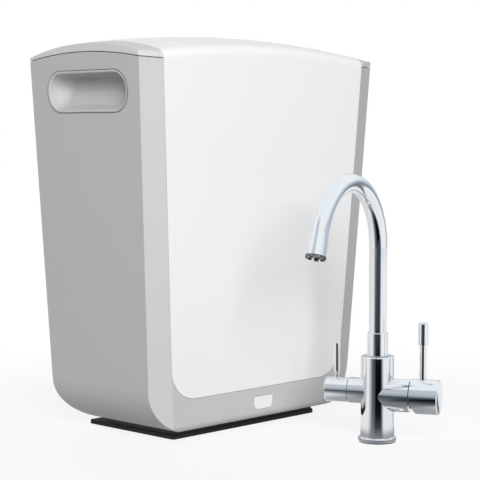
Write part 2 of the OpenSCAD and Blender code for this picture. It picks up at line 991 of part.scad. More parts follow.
module manifold() {
    mid_y = (manifold_front + manifold_rear) / 2;
    mid_x = (manifold_left + manifold_right) / 2;
    color(black)
        difference() {
            union() {
                round_block(mid_x, mid_y, manifold_right - manifold_left, manifold_rear - manifold_front, 10,
                    shelf_z, manifold_top);
                for (i = [0 : 2])
                    at_cartridge(i)
                        fore_and_aft() {
                            sector(claw_r, claw_r + claw_t, manifold_top - 2, claw_top, claw_half);
                            sector(flange_r + 0.7, claw_r + claw_t, claw_lip_z, claw_top, claw_half);
                        }
                translate([delivery_x, tube_plane, manifold_top - 1]) cylinder(r = stub_r, h = stub_h + 1);
            }
            for (i = [0 : 2])
                at_cartridge(i) {
                    translate([0, 0, socket_z]) cylinder(r = socket_r, h = socket_depth + 1);
                    translate([0, 0, seal_z - seal_r]) cylinder(r = socket_r + 2 * seal_r, h = 2 * seal_r);
                }
            // Gallery that joins the sockets, and the ways in and out
            translate([0, cartridge_y, socket_z + 4]) bar_x(3, cartridge_places[0], cartridge_places[2]);
            translate([delivery_x, tube_plane, manifold_top - tube_entry])
                cylinder(r = tube_bore_r, h = tube_entry + stub_h + 1);
            translate([port_xs[1], 0, port_z]) bar_y(tube_bore_r, manifold_rear - tube_entry, manifold_rear + 1);
        }
}

module socket_seals() {
    color(black)
        for (i = [0 : 2])
            at_cartridge(i)
                translate([0, 0, seal_z])
                    rotate_extrude()
                        translate([socket_r + seal_r + running_gap, 0]) circle(seal_r - running_gap);
}

module cartridge(i, tint) {
    color(tint)
        at_cartridge(i)
            difference() {
                union() {
                    rotate_extrude()
                        polygon([
                            [0, socket_z + 0.5], [neck_r - 1, socket_z + 0.5], [neck_r, socket_z + 1.5],
                            [neck_r, flange_z], [flange_r, flange_z], [flange_r, flange_z + flange_t],
                            [cartridge_r, flange_z + flange_t + 1.6], [cartridge_r, cartridge_top - 14],
                            [cartridge_r - 3, cartridge_top - 5], [cartridge_r - 11, cartridge_top],
                            [0, cartridge_top]]);
                    fore_and_aft()
                        sector(neck_r, lug_r, flange_z, flange_z + flange_t, lug_half);
                    // Grip bar for turning the cartridge
                    intersection() {
                        round_block(0, 0, 12, 2 * cartridge_r - 8, 5, cartridge_top - 10, cartridge_top + 14);
                        translate([0, 0, cartridge_top - 20])
                            rotate([0, 90, 0]) cylinder(r = cartridge_r + 5, h = 40, center = true);
                    }
                }
                translate([0, 0, socket_z]) cylinder(r = 5, h = socket_depth);
            }
}

module sediment_cartridge() { cartridge(0, "#dfe6ea"); }

module membrane_cartridge() { cartridge(1, "#e9ecee"); }

module carbon_cartridge() { cartridge(2, "#d4dadf"); }

module at_pump() {
    translate([pump_x, pump_y, 0]) children();
}

module pump_mounts() {
    color(black)
        at_pump()
            for (x = [-mount_at, mount_at], y = [-mount_at, mount_at])
                translate([x, y, shelf_z]) cylinder(r = mount_r, h = mount_h);
}

module pump_bracket() {
    color(chrome)
        at_pump()
            round_block(0, 0, 2 * bracket_half, 2 * bracket_half, 6, shelf_z + mount_h, pump_z);
}

module pump_head() {
    color(black)
        at_pump()
            difference() {
                union() {
                    round_block(0, 0, pump_w, pump_w, 9, pump_z, pump_top);
                    round_block(0, 0, pump_w + 4, pump_w + 4, 10, pump_z + 12, pump_z + 20);
                    for (s = [-1, 1])
                        translate([s * stub_at, stub_at, pump_top - 1]) cylinder(r = stub_r, h = stub_h + 1);
                }
                for (s = [-1, 1])
                    translate([s * stub_at, stub_at, pump_top - tube_entry])
                        cylinder(r = tube_bore_r, h = tube_entry + stub_h + 1);
            }
}

module pump_motor() {
    color("#8d9196")
        at_pump()
            translate([0, 0, pump_top])
                rotate_extrude()
                    polygon([
                        [0, 0], [motor_r, 0], [motor_r, motor_len - 3], [motor_r - 3, motor_len],
                        [9, motor_len], [8, motor_len + 5], [0, motor_len + 5]]);
}

module valve_body(half, d, h) {
    difference() {
        union() {
            translate([-half, -d / 2, -h / 2]) cube([2 * half, d, h]);
            bar_x(stub_r, -half - valve_stub, half + valve_stub);
        }
        bar_x(tube_bore_r, -half - valve_stub - 1, -half - valve_stub + tube_entry);
        bar_x(tube_bore_r, half + valve_stub - tube_entry, half + valve_stub + 1);
    }
}

module coil(r, h) {
    difference() {
        union() {
            cylinder(r = r, h = h);
            translate([0, 0, h - 0.5]) cylinder(r = r / 3, h = 2.5);
        }
        translate([r - 4, -5, h - 6]) cube([8, 10, 8]);
    }
}

module inlet_valve() {
    color(white)
        translate([inlet_valve_x, tube_plane, valve_z]) valve_body(valve_half, valve_d, valve_h);
}

module inlet_coil() {
    color(black)
        translate([inlet_valve_x, tube_plane, valve_z + valve_h / 2]) coil(inlet_coil_r, inlet_coil_h);
}

module flush_valve() {
    color(white)
        difference() {
            translate([port_xs[2] - flush_w / 2, manifold_rear, flush_z - flush_w / 2]) cube([flush_w, flush_d, flush_w]);
            translate([port_xs[2], 0, flush_z])
                bar_y(tube_bore_r, manifold_rear + flush_d - tube_entry, manifold_rear + flush_d + 1);
        }
}

module flush_coil() {
    color(black)
        translate([port_xs[2], manifold_rear + flush_d / 2, flush_z + flush_w / 2]) coil(flush_coil_r, flush_coil_h);
}

module pressure_switch() {
    color("#3a3d40")
        translate([manifold_right, cartridge_y, shelf_z + manifold_h / 2]) {
            bar_x(9, 0, 12);
            bar_x(5, 11, 18);
        }
}

module control_board() {
    color(board_green)
        translate([control_x, panel_y, electric_z]) {
            for (s = [-1, 1], t = [-1, 1])
                translate([s * (control_w / 2 - stand_margin), 0, t * (control_h / 2 - stand_margin)])
                    bar_y(3, 0, control_stand);
            translate([-control_w / 2, control_stand, -control_h / 2]) cube([control_w, board_t, control_h]);
            // Relay, processor and three upright capacitors
            translate([-40, control_stand + board_t, -40]) cube([24, 10, 14]);
            translate([6, control_stand + board_t, 14]) cube([30, 3, 30]);
            for (i = [0 : 2])
                translate([-30 + 16 * i, control_stand, 40]) bar_y(5, board_t / 2, 14);
        }
}

module power_supply() {
    color("#b9bcbf")
        translate([supply_x, panel_y, electric_z])
            difference() {
                translate([-supply_w / 2, 0, -supply_h / 2]) cube([supply_w, supply_d, supply_h]);
                for (z = [slot_margin - supply_h / 2 : slot_pitch : supply_h / 2 - slot_margin])
                    translate([slot_margin - supply_w / 2, supply_d - slot_w, z - slot_w / 2])
                        cube([supply_w - 2 * slot_margin, 2 * slot_w, slot_w]);
            }
}

// One stretch of tube from p to q
module tube_run(p, q, r) {
    d = unit(q - p);
    translate(p)
        rotate([0, acos(d.z), atan2(d.y, d.x)])
            cylinder(r = r, h = norm(q - p));
}

// Quarter bend at the corner q, coming along u and leaving along v
module tube_elbow(q, u, v, r) {
    c = q + (v - u) * tube_bend;
    w = cross(-v, u);
    multmatrix([
        [-v.x, u.x, w.x, c.x],
        [-v.y, u.y, w.y, c.y],
        [-v.z, u.z, w.z, c.z],
        [0, 0, 0, 1]])
        rotate_extrude(angle = 90)
            translate([tube_bend, 0]) circle(r);
}

// Solid along a route of straight runs joined by quarter bends
module tube_solid(route, r) {
    last = len(route) - 1;
    for (i = [0 : last - 1]) {
        d = unit(route[i + 1] - route[i]);
        a = route[i] + (i > 0 ? d * tube_bend : [0, 0, 0]);
        b = route[i + 1] - (i < last - 1 ? d * tube_bend : [0, 0, 0]);
        tube_run(a, b, r);
    }
    for (i = [1 : 1 : last - 1])
        tube_elbow(route[i], unit(route[i] - route[i - 1]), unit(route[i + 1] - route[i]), r);
}

module tube(route) {
    color(tube_white)
        difference() {
            tube_solid(route, tube_r);
            tube_solid(route, tube_r - tube_wall);
        }
}

port_inner_y = port_seat_y - port_inner;
tube_end_y = port_inner_y + tube_entry - 1;
riser_y = (manifold_rear + panel_front) / 2;

module feed_tube() {
    tube([
        [feed_x, tube_end_y, port_z],
        [feed_x, riser_y, port_z],
        [feed_x, riser_y, valve_z],
        [feed_x, tube_plane, valve_z],
        [inlet_valve_x + valve_end - tube_entry + 1, tube_plane, valve_z]]);
}

module pump_inlet_tube() {
    tube([
        [inlet_valve_x - valve_end + tube_entry - 1, tube_plane, valve_z],
        [pump_in_x, tube_plane, valve_z],
        [pump_in_x, tube_plane, pump_top - tube_entry + 1]]);
}

module pump_outlet_tube() {
    tube([
        [pump_out_x, tube_plane, pump_top - tube_entry + 1],
        [pump_out_x, tube_plane, delivery_z],
        [delivery_x, tube_plane, delivery_z],
        [delivery_x, tube_plane, manifold_top - tube_entry + 1]]);
}

module product_tube() {
    tube([[port_xs[1], manifold_rear - tube_entry + 1, port_z], [port_xs[1], tube_end_y, port_z]]);
}

module drain_tube() {
    tube([[port_xs[2], manifold_rear + flush_d - tube_entry + 1, port_z], [port_xs[2], tube_end_y, port_z]]);
}

module port_body() {
    difference() {
        union() {
            bar_y(port_r, port_inner_y, port_end_y);
            bar_y(port_flange_r, port_seat_y, port_seat_y + port_flange_t);
        }
        bar_y(tube_bore_r, port_inner_y - 1, port_inner_y + tube_entry);
        bar_y(tube_r - tube_wall, port_inner_y, port_end_y);
        bar_y(tube_bore_r, port_end_y - collet_len - collet_travel - collet_spare - tube_stop, port_end_y + 1);
        bar_y(collet_r + running_gap, port_end_y - collet_len - collet_travel - collet_spare, port_end_y + 1);
    }
}

module rear_ports() {
    color("#e6e8ea")
        for (x = port_xs)
            translate([x, 0, port_z]) port_body();
}

module port_nuts() {
    color("#e6e8ea")
        for (x = port_xs)
            translate([x, 0, port_z])
                difference() {
                    translate([0, port_nut_y - 6, 0]) rotate([-90, 0, 0]) cylinder(r = port_flange_r, h = 6, $fn = 6);
                    bar_y(port_r + running_gap, port_nut_y - 7, port_nut_y + 1);
                }
}

module collet(i) {
    color("#6f7f9b")
        translate([port_xs[i], 0, port_z])
            difference() {
                union() {
                    bar_y(collet_r, port_end_y - collet_len, port_end_y + collet_travel + collet_spare + 1);
                    bar_y(collet_head_r, port_end_y + collet_travel + collet_spare,
                        port_end_y + collet_travel + collet_spare + collet_head_t);
                }
                bar_y(tube_bore_r, port_end_y - collet_len - 1,
                    port_end_y + collet_travel + collet_spare + collet_head_t + 1);
            }
}

module feed_collet() { collet(0); }

module product_collet() { collet(1); }

module drain_collet() { collet(2); }

module power_inlet() {
    color(black)
        difference() {
            union() {
                inlet_block(3, port_seat_y, port_seat_y + 2.4);
                inlet_block(0, port_seat_y - inlet_d, port_seat_y + 1);
            }
            difference() {
                inlet_block(-3, port_seat_y - inlet_d + 3, port_seat_y + 4);
                for (s = [-1, 1])
                    translate([inlet_x + s * 4.3, 0, port_z]) bar_y(1.2, port_seat_y - inlet_d, port_seat_y - 2);
            }
        }
}

// Tap pieces

module on_tap() {
    translate([tap_x, tap_y, 0]) rotate(tap_turn) children();
}

module at_valve_axis() {
    translate([0, 0, valve_axis_z]) children();
}

module at_filter_axis() {
    translate([0, 0, filter_axis_z]) children();
}

module tap_base_seal() {
    color(black) on_tap() ring(base_ring_r - 0.6, chamber_r, 0, seal_t);
}

module tap_base_ring() {
    color(chrome)
        on_tap()
            rotate_extrude()
                polygon([
                    [column_r + running_gap, seal_t], [base_ring_r, seal_t], [base_ring_r, base_ring_h - 1.4],
                    [base_ring_r - 0.5, base_ring_h - 0.4], [base_ring_r - 1.4, base_ring_h],
                    [column_r + running_gap, base_ring_h]]);
}

module tap_body() {
    color(chrome)
        on_tap()
            difference() {
                union() {
                    rotate_extrude()
                        polygon([
                            [0, seal_t], [column_r, seal_t], [column_r, column_top - 1],
                            [column_r - 1, column_top], [0, column_top]]);
                    at_valve_axis() bar_x(mixer_boss_r, 0, mixer_boss_end);
                    at_filter_axis() bar_x(filter_boss_r, -filter_boss_end, 0);
                }
                translate([0, 0, -1]) cylinder(r = chamber_r, h = chamber_top + hose_depth + 1);
                translate([0, 0, column_top - spigot_len - 1]) cylinder(r = socket_top_r, h = spigot_len + 2);
                at_valve_axis() bar_x(mixer_bore_r, mixer_bore_from, mixer_boss_end + 1);
                at_filter_axis() bar_x(filter_bore_r, -filter_boss_end - 1, -mixer_bore_from);
            }
}

// Threaded sockets under the column for the three hoses, round the one for the clamping stud
module hose_sockets() {
    color(brass)
        on_tap() {
            for (a = [90, 210, 330])
                rotate(a)
                    translate([hose_at, 0, 0])
                        ring(hose_r + hose_wall, hose_r, chamber_top, chamber_top + hose_depth);
            ring(stud_r + stud_wall, stud_r, chamber_top, chamber_top + hose_depth);
        }
}

module spout_bush() {
    color(white)
        on_tap()
            ring(socket_top_r - running_gap, spigot_r + running_gap, column_top - bush_len - 1, column_top - 1);
}

seal_groove = 1.7;
spout_seal_zs = [column_top - 16, column_top - 8];

module on_spout() {
    on_tap() rotate(spout_rest) children();
}

module spout_seals() {
    color(black)
        on_spout()
            for (z = spout_seal_zs)
                translate([0, 0, z])
                    rotate_extrude()
                        translate([spigot_r - seal_groove / 2, 0]) circle(seal_groove / 2 - running_gap);
}

module spout_collar() {
    color(chrome)
        on_spout()
            rotate_extrude()
                polygon([
                    [spout_r + running_gap, column_top + seat_gap], [collar_r, column_top + seat_gap],
                    [collar_r, column_top + collar_h - 0.6], [collar_r - 0.6, column_top + collar_h],
                    [spout_r + running_gap, column_top + collar_h]]);
}

// Frame at the end of the bend, looking along the water's way out
module at_bend_end() {
    translate([0, -bend_r, bend_z])
        rotate([bend_angle, 0, 0])
            translate([0, bend_r, 0])
                children();
}

// Upright run, bend and straight tip of a tube that follows the spout
module spout_run(r, z0, tip, flare = 0) {
    translate([0, 0, z0]) cylinder(r = r, h = bend_z - z0);
    translate([0, -bend_r, bend_z])
        rotate(a = 120, v = [1, 1, 1])
            rotate_extrude(angle = bend_angle, $fn = 128)
                translate([bend_r, 0]) circle(r);
    at_bend_end()
        translate([0, 0, -tip_lap])
            cylinder(r1 = r + bulge, r2 = r + bulge + flare, h = tip + tip_lap);
}

tip_lap = 0.05;

module spout_tube() {
    color(chrome)
        on_spout()
            difference() {
                union() {
                    spout_run(spout_r, column_top + 2 * seat_gap, tip_len, tip_flare);
                    translate([0, 0, column_top - spigot_len]) cylinder(r = spigot_r, h = spigot_len + 2);
                }
                spout_run(spout_r - spout_wall, column_top + 4, tip_len + 1);
                translate([0, 0, column_top - spigot_len - 1]) cylinder(r = spigot_r - 2.4, h = spigot_len + 6);
                for (z = spout_seal_zs)
                    ring(spigot_r + 1, spigot_r - seal_groove, z - seal_groove / 2, z + seal_groove / 2);
            }
}

inner_tube_r = 3;
inner_tube_wall = 0.8;

outlet_len = 8;
rim_len = 3;
rim_inset = 0.9;
rim_wall = 2.6;
notch_w = 3.2;
notch_depth = 2.2;
spray_r = 1.5;
spray_at = 5;

module filtered_water_tube() {
    color(white)
        on_spout()
            difference() {
                spout_run(inner_tube_r, column_top - spigot_len + 2, tip_len - 3);
                spout_run(inner_tube_r - inner_tube_wall, column_top - spigot_len + 1, tip_len);
            }
}

module spout_outlet() {
    outlet_r = spout_r - spout_wall - running_gap;
    rim_r = spout_r + tip_flare - rim_inset;
    color("#50555a")
        on_spout()
            at_bend_end()
                translate([0, 0, tip_len])
                    difference() {
                        union() {
                            translate([0, 0, -outlet_len]) cylinder(r = outlet_r, h = outlet_len + seat_gap);
                            translate([0, 0, seat_gap / 2]) cylinder(r = rim_r, h = rim_len);
                        }
                        translate([0, 0, -outlet_len - 1]) cylinder(r = inner_tube_r + running_gap, h = outlet_len - 1);
                        translate([0, 0, -outlet_len - 1])
                            cylinder(r = inner_tube_r - inner_tube_wall, h = outlet_len + rim_len + 2);
                        for (i = [0 : 5])
                            rotate(60 * i)
                                translate([spray_at, 0, -outlet_len - 1])
                                    cylinder(r = spray_r, h = outlet_len + rim_len + 2);
                        // Dished face and notched rim
                        translate([0, 0, seat_gap / 2 + rim_len - notch_depth])
                            cylinder(r = rim_r - rim_wall, h = 2 * notch_depth);
                        for (i = [0 : notch_count - 1])
                            rotate(360 * i / notch_count)
                                translate([0, -notch_w / 2, seat_gap / 2 + rim_len - notch_depth])
                                    cube([2 * rim_r, notch_w, 2 * notch_depth]);
                    }
}

module mixer_valve() {
    color(white)
        on_tap()
            at_valve_axis()
                difference() {
                    union() {
                        bar_x(mixer_bore_r - running_gap, mixer_bore_from + 0.5, mixer_boss_end - 4);
                        bar_x(spindle_r + 2, mixer_boss_end - 5, mixer_boss_end - 0.5);
                    }
                    bar_x(spindle_r + running_gap, mixer_bore_from + 6, mixer_boss_end);
                }
}

module mixer_valve_nut() {
    color(brass)
        on_tap()
            at_valve_axis()
                difference() {
                    bar_x(mixer_bore_r - running_gap, mixer_boss_end - 4 + running_gap, mixer_boss_end - 0.5);
                    bar_x(spindle_r + 2 + running_gap, mixer_boss_end - 6, mixer_boss_end + 1);
                }
}

module mixer_spindle() {
    color(brass)
        on_tap()
            at_valve_axis()
                difference() {
                    union() {
                        bar_x(spindle_r, mixer_bore_from + 6.3, pivot_x - 8);
                        translate([pivot_x - 8.5, -tongue_half, -6]) cube([13.5, 2 * tongue_half, 12]);
                    }
                    translate([pivot_x, 0, 0]) bar_y(pin_r + running_gap, -2 * spindle_r, 2 * spindle_r);
                }
}

module mixer_knob() {
    cheek_from = tongue_half + seat_gap;
    cheek_to = 10;
    color(chrome)
        on_tap()
            at_valve_axis()
                difference() {
                    union() {
                        difference() {
                            rotate([0, 90, 0])
                                rotate_extrude()
                                    polygon([
                                        [0, knob_from], [mixer_knob_r, knob_from], [mixer_knob_r, knob_end - 1],
                                        [mixer_knob_r - 1, knob_end], [mixer_knob_r - 8, knob_end + 0.6],
                                        [0, knob_end + 0.8]]);
                            bar_x(knob_cavity_r, knob_from - 1, pivot_x + 10);
                        }
                        for (s = [-1, 1])
                            translate([pivot_x - 5, s > 0 ? cheek_from : -cheek_to, -7])
                                cube([16, cheek_to - cheek_from, 14]);
                    }
                    translate([pivot_x, 0, 0]) bar_y(pin_r, -cheek_to - 1, cheek_to + 1);
                    translate([lever_x, 0, mixer_knob_r - 8]) cylinder(r = mixer_rod_r, h = 12);
                    // Wedge that lets the knob tilt past the end of the boss
                    translate([pivot_x, 0, 0])
                        rotate([0, -mixer_tilt - 1, 0])
                            translate([-knob_end, -knob_end, -2 * mixer_knob_r])
                                cube([knob_end - pivot_x + mixer_boss_end + 0.4, 2 * knob_end, 2 * mixer_knob_r]);
                }
}

module mixer_pin() {
    color(brass)
        on_tap()
            at_valve_axis()
                translate([pivot_x, 0, 0]) bar_y(pin_r, -9.5, 9.5);
}

module mixer_rod() {
    color(chrome)
        on_tap()
            at_valve_axis()
                translate([lever_x, 0, mixer_knob_r - 4]) cylinder(r = mixer_rod_r, h = mixer_rod_len + 8 - mixer_knob_r + 4);
}

module mixer_grip() {
    from = mixer_rod_len;
    to = mixer_rod_len + mixer_grip_len;
    color(chrome)
        on_tap()
            at_valve_axis()
                translate([lever_x, 0, 0])
                    rotate_extrude()
                        polygon([
                            [mixer_rod_r, from], [mixer_grip_r, from], [mixer_grip_r, to - 0.8],
                            [mixer_grip_r - 0.8, to], [0, to], [0, from + 8], [mixer_rod_r, from + 8]]);
}

module filter_valve() {
    color(brass)
        on_tap()
            at_filter_axis()
                difference() {
                    bar_x(filter_bore_r - running_gap, -filter_boss_end + 0.5, -mixer_bore_from - 0.5);
                    bar_x(filter_spindle_r + running_gap, -filter_boss_end, -mixer_bore_from - 8);
                }
}

module filter_knob() {
    from = filter_knob_from;
    to = filter_knob_from + filter_knob_len;
    color(chrome)
        on_tap()
            at_filter_axis()
                difference() {
                    union() {
                        rotate([0, -90, 0])
                            rotate_extrude()
                                polygon([
                                    [0, from], [filter_knob_r, from], [filter_knob_r, to - 1.2],
                                    [filter_knob_r - 1.2, to], [filter_knob_r - 6, to + 0.6], [0, to + 0.8]]);
                        bar_x(filter_spindle_r, -from - 1, -mixer_bore_from - 9);
                    }
                    translate([-filter_lever_x, 0, filter_knob_r - 5]) cylinder(r = 2, h = 8);
                }
}

module filter_lever() {
    color(chrome)
        on_tap()
            at_filter_axis()
                translate([-filter_lever_x, 0, 0])
                    rotate_extrude()
                        polygon([
                            [0, filter_knob_r - 5], [2, filter_knob_r - 5], [2, filter_knob_r + 3],
                            [filter_rod_r, filter_knob_r + 7], [filter_rod_r, filter_rod_len - 0.6],
                            [filter_rod_r - 0.6, filter_rod_len], [0, filter_rod_len]]);
}

housing();
front_frame();
lid();
front_cover();
cover_screws();
left_grip_cup();
right_grip_cup();
base_plinth();
foot_plate();
status_button();
button_board();
chassis();
chassis_screws();
manifold();
socket_seals();
sediment_cartridge();
membrane_cartridge();
carbon_cartridge();
pump_mounts();
pump_bracket();
pump_head();
pump_motor();
inlet_valve();
inlet_coil();
flush_valve();
flush_coil();
pressure_switch();
control_board();
power_supply();
feed_tube();
pump_inlet_tube();
pump_outlet_tube();
product_tube();
drain_tube();
rear_ports();
port_nuts();
feed_collet();
product_collet();
drain_collet();
power_inlet();
tap_base_seal();
tap_base_ring();
tap_body();
hose_sockets();
spout_bush();
spout_seals();
spout_collar();
spout_tube();
filtered_water_tube();
spout_outlet();
mixer_valve();
mixer_valve_nut();
mixer_spindle();
mixer_knob();
mixer_pin();
mixer_rod();
mixer_grip();
filter_valve();
filter_knob();
filter_lever();
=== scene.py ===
"""Looks of the reverse osmosis unit and its three-way tap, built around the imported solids."""

import math

import bmesh
import bpy
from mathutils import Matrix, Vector


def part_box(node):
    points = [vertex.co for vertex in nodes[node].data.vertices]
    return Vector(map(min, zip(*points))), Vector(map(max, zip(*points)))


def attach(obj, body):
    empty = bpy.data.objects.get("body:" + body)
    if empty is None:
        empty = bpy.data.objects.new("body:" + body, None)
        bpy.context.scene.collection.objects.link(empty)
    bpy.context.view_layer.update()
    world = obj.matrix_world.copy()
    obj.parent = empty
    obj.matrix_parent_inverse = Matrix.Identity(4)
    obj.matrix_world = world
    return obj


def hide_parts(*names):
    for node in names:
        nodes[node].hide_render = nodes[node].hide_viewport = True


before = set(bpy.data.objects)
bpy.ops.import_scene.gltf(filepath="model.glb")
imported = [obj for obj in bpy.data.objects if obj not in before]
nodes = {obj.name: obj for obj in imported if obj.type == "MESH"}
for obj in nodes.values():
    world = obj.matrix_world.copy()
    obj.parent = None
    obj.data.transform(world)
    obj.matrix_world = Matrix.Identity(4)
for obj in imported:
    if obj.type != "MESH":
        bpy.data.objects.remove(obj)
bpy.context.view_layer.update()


# Material helpers

EVEN = (1.0, 1.0, 1.0)
NOISE_SPAN = (0.3, 0.7)
EDGE_SAMPLES = 4
DRIFT_SCALE = 5.0
DRIFT_DETAIL = 3.0
GLOSS_DRIFT = 0.05
GRAIN_DETAIL = 1.0
COAT_ROUGHNESS = 0.15
MARK_DETAIL = 4.0
SCRATCH_FINENESS = 14
SCRATCH_DETAIL = 2.0


def bare_material(name):
    """Material with nothing in it but its output."""
    material = bpy.data.materials.new(name)
    material.use_nodes = True
    tree = material.node_tree
    tree.nodes.clear()
    return material, tree, tree.nodes.new("ShaderNodeOutputMaterial")


def start_material(name):
    material, tree, output = bare_material(name)
    shader = tree.nodes.new("ShaderNodeBsdfPrincipled")
    tree.links.new(shader.outputs["BSDF"], output.inputs["Surface"])
    return material, tree, shader


def add_math(tree, operation, first, second=0.0):
    """One step of arithmetic on two values, each a fixed number or a socket."""
    step = tree.nodes.new("ShaderNodeMath")
    step.operation = operation
    for socket, value in zip(step.inputs, (first, second)):
        if isinstance(value, float):
            socket.default_value = value
        else:
            tree.links.new(value, socket)
    return step.outputs["Value"]


def colour_mix(tree, factor, first, second):
    """Colour between two others, each a fixed colour or a socket."""
    mix = tree.nodes.new("ShaderNodeMix")
    mix.data_type = "RGBA"
    tree.links.new(factor, mix.inputs["Factor"])
    for key, colour in (("A", first), ("B", second)):
        if isinstance(colour, tuple):
            mix.inputs[key].default_value = colour
        else:
            tree.links.new(colour, mix.inputs[key])
    return mix.outputs["Result"]


def add_noise(tree, place, scale, detail, stretch=EVEN):
    mapping = tree.nodes.new("ShaderNodeMapping")
    mapping.inputs["Scale"].default_value = stretch
    tree.links.new(place.outputs["Object"], mapping.inputs["Vector"])
    noise = tree.nodes.new("ShaderNodeTexNoise")
    noise.inputs["Scale"].default_value = scale
    noise.inputs["Detail"].default_value = detail
    tree.links.new(mapping.outputs["Vector"], noise.inputs["Vector"])
    return noise.outputs["Fac"]


def spread_colour(tree, shader, factor, colour, spread):
    """Colour that drifts a little to each side of its middle value."""
    darker = (*[c * (1 - spread) for c in colour], 1)
    lighter = (*[min(c * (1 + spread), 1) for c in colour], 1)
    tree.links.new(colour_mix(tree, factor, darker, lighter), shader.inputs["Base Color"])


def spread_roughness(tree, shader, factor, low, high):
    span = tree.nodes.new("ShaderNodeMapRange")
    span.inputs["From Min"].default_value = NOISE_SPAN[0]
    span.inputs["From Max"].default_value = NOISE_SPAN[1]
    span.inputs["To Min"].default_value = low
    span.inputs["To Max"].default_value = high
    tree.links.new(factor, span.inputs["Value"])
    tree.links.new(span.outputs["Result"], shader.inputs["Roughness"])


def add_bump(tree, shader, height, depth, edge=0.0):
    """Fine relief, on edges that are rounded off by a small radius."""
    bump = tree.nodes.new("ShaderNodeBump")
    bump.inputs["Strength"].default_value = 1.0
    bump.inputs["Distance"].default_value = depth
    tree.links.new(height, bump.inputs["Height"])
    if edge > 0:
        rounding = tree.nodes.new("ShaderNodeBevel")
        rounding.samples = EDGE_SAMPLES
        rounding.inputs["Radius"].default_value = edge
        tree.links.new(rounding.outputs["Normal"], bump.inputs["Normal"])
    tree.links.new(bump.outputs["Normal"], shader.inputs["Normal"])


def moulded(name, colour, roughness=0.45, grain=1800.0, depth=0.00004, spread=0.02, coat=0.0,
            edge=0.0):
    """Moulded plastic: fine spark-eroded grain, slow drift of tone and gloss."""
    material, tree, shader = start_material(name)
    place = tree.nodes.new("ShaderNodeTexCoord")
    drift = add_noise(tree, place, DRIFT_SCALE, DRIFT_DETAIL)
    spread_colour(tree, shader, drift, colour, spread)
    spread_roughness(tree, shader, drift, roughness - GLOSS_DRIFT, roughness + GLOSS_DRIFT)
    add_bump(tree, shader, add_noise(tree, place, grain, GRAIN_DETAIL), depth, edge)
    shader.inputs["Coat Weight"].default_value = coat
    shader.inputs["Coat Roughness"].default_value = COAT_ROUGHNESS
    return material


def metal(name, colour, low, high, stretch=EVEN, scale=60.0, depth=0.000004, spread=0.03, edge=0.0):
    """Metal whose polish varies along fine marks."""
    material, tree, shader = start_material(name)
    shader.inputs["Metallic"].default_value = 1.0
    place = tree.nodes.new("ShaderNodeTexCoord")
    marks = add_noise(tree, place, scale, MARK_DETAIL, stretch)
    spread_colour(tree, shader, marks, colour, spread)
    spread_roughness(tree, shader, marks, low, high)
    scratches = add_noise(tree, place, scale * SCRATCH_FINENESS, SCRATCH_DETAIL, stretch)
    add_bump(tree, shader, scratches, depth, edge)
    return material


def paint_gap_shade(material, attribute, tone):
    """Painted gap shade: a dark line where a piece's own attribute marks its edge."""
    tree = material.node_tree
    shader = next(n for n in tree.nodes if n.bl_idname == "ShaderNodeBsdfPrincipled")
    plain = shader.inputs["Base Color"].links[0].from_socket
    mark = tree.nodes.new("ShaderNodeAttribute")
    mark.attribute_name = attribute
    tree.links.new(colour_mix(tree, mark.outputs["Fac"], plain, tone), shader.inputs["Base Color"])


MOULDED_EDGE = 0.0007
PLATED_EDGE = 0.0003

finishes = {
    "casing_grey": moulded("casing_grey", (0.49, 0.492, 0.494), roughness=0.55, edge=MOULDED_EDGE),
    "pocket_grey": moulded("pocket_grey", (0.52, 0.522, 0.524), roughness=0.55),
    "frame_grey": moulded("frame_grey", (0.55, 0.552, 0.554), roughness=0.5, edge=MOULDED_EDGE),
    "lid_grey": moulded("lid_grey", (0.64, 0.642, 0.644), roughness=0.6, edge=MOULDED_EDGE),
    "cover_white": moulded("cover_white", (0.88, 0.88, 0.88), roughness=0.38, depth=0.00002, spread=0.008,
                           coat=0.15, edge=MOULDED_EDGE),
    # Base plinth: near black, partly its own colour and partly painted shade under the casing
    "base_black_and_underside_shade": moulded("base_black_and_underside_shade", (0.012, 0.012, 0.012), roughness=0.6),
    "foot_rubber": moulded("foot_rubber", (0.01, 0.01, 0.01), roughness=0.8, grain=900.0, depth=0.0001),
    "inner_black": moulded("inner_black", (0.02, 0.021, 0.022), roughness=0.5),
    "chassis_grey": moulded("chassis_grey", (0.46, 0.47, 0.48), roughness=0.55),
    "cartridge_shell": moulded("cartridge_shell", (0.74, 0.78, 0.8), roughness=0.4),
    "valve_white": moulded("valve_white", (0.8, 0.8, 0.79), roughness=0.45),
    "tube_white": moulded("tube_white", (0.82, 0.84, 0.85), roughness=0.35, grain=600.0),
    "board_green": moulded("board_green", (0.03, 0.13, 0.06), roughness=0.35, grain=700.0, spread=0.12),
    "collet_blue": moulded("collet_blue", (0.1, 0.16, 0.3), roughness=0.4),
    "switch_grey": moulded("switch_grey", (0.05, 0.053, 0.056), roughness=0.4),
    "polished_chrome": metal("polished_chrome", (0.9, 0.905, 0.91), 0.04, 0.08, (1.0, 1.0, 0.25),
                             edge=PLATED_EDGE),
    "outlet_chrome": metal("outlet_chrome", (0.2, 0.21, 0.22), 0.1, 0.2),
    "zinc_plate": metal("zinc_plate", (0.58, 0.6, 0.62), 0.28, 0.42),
    "turned_brass": metal("turned_brass", (0.6, 0.44, 0.2), 0.2, 0.32),
    # Brass coloured near black as painted shade, so the gap between boss and knob reads dark
    "brass_darkened_as_gap_shade": metal("brass_darkened_as_gap_shade", (0.06, 0.055, 0.045), 0.35, 0.5),
    "bare_aluminium": metal("bare_aluminium", (0.62, 0.63, 0.64), 0.3, 0.45, (1.0, 1.0, 8.0)),
}

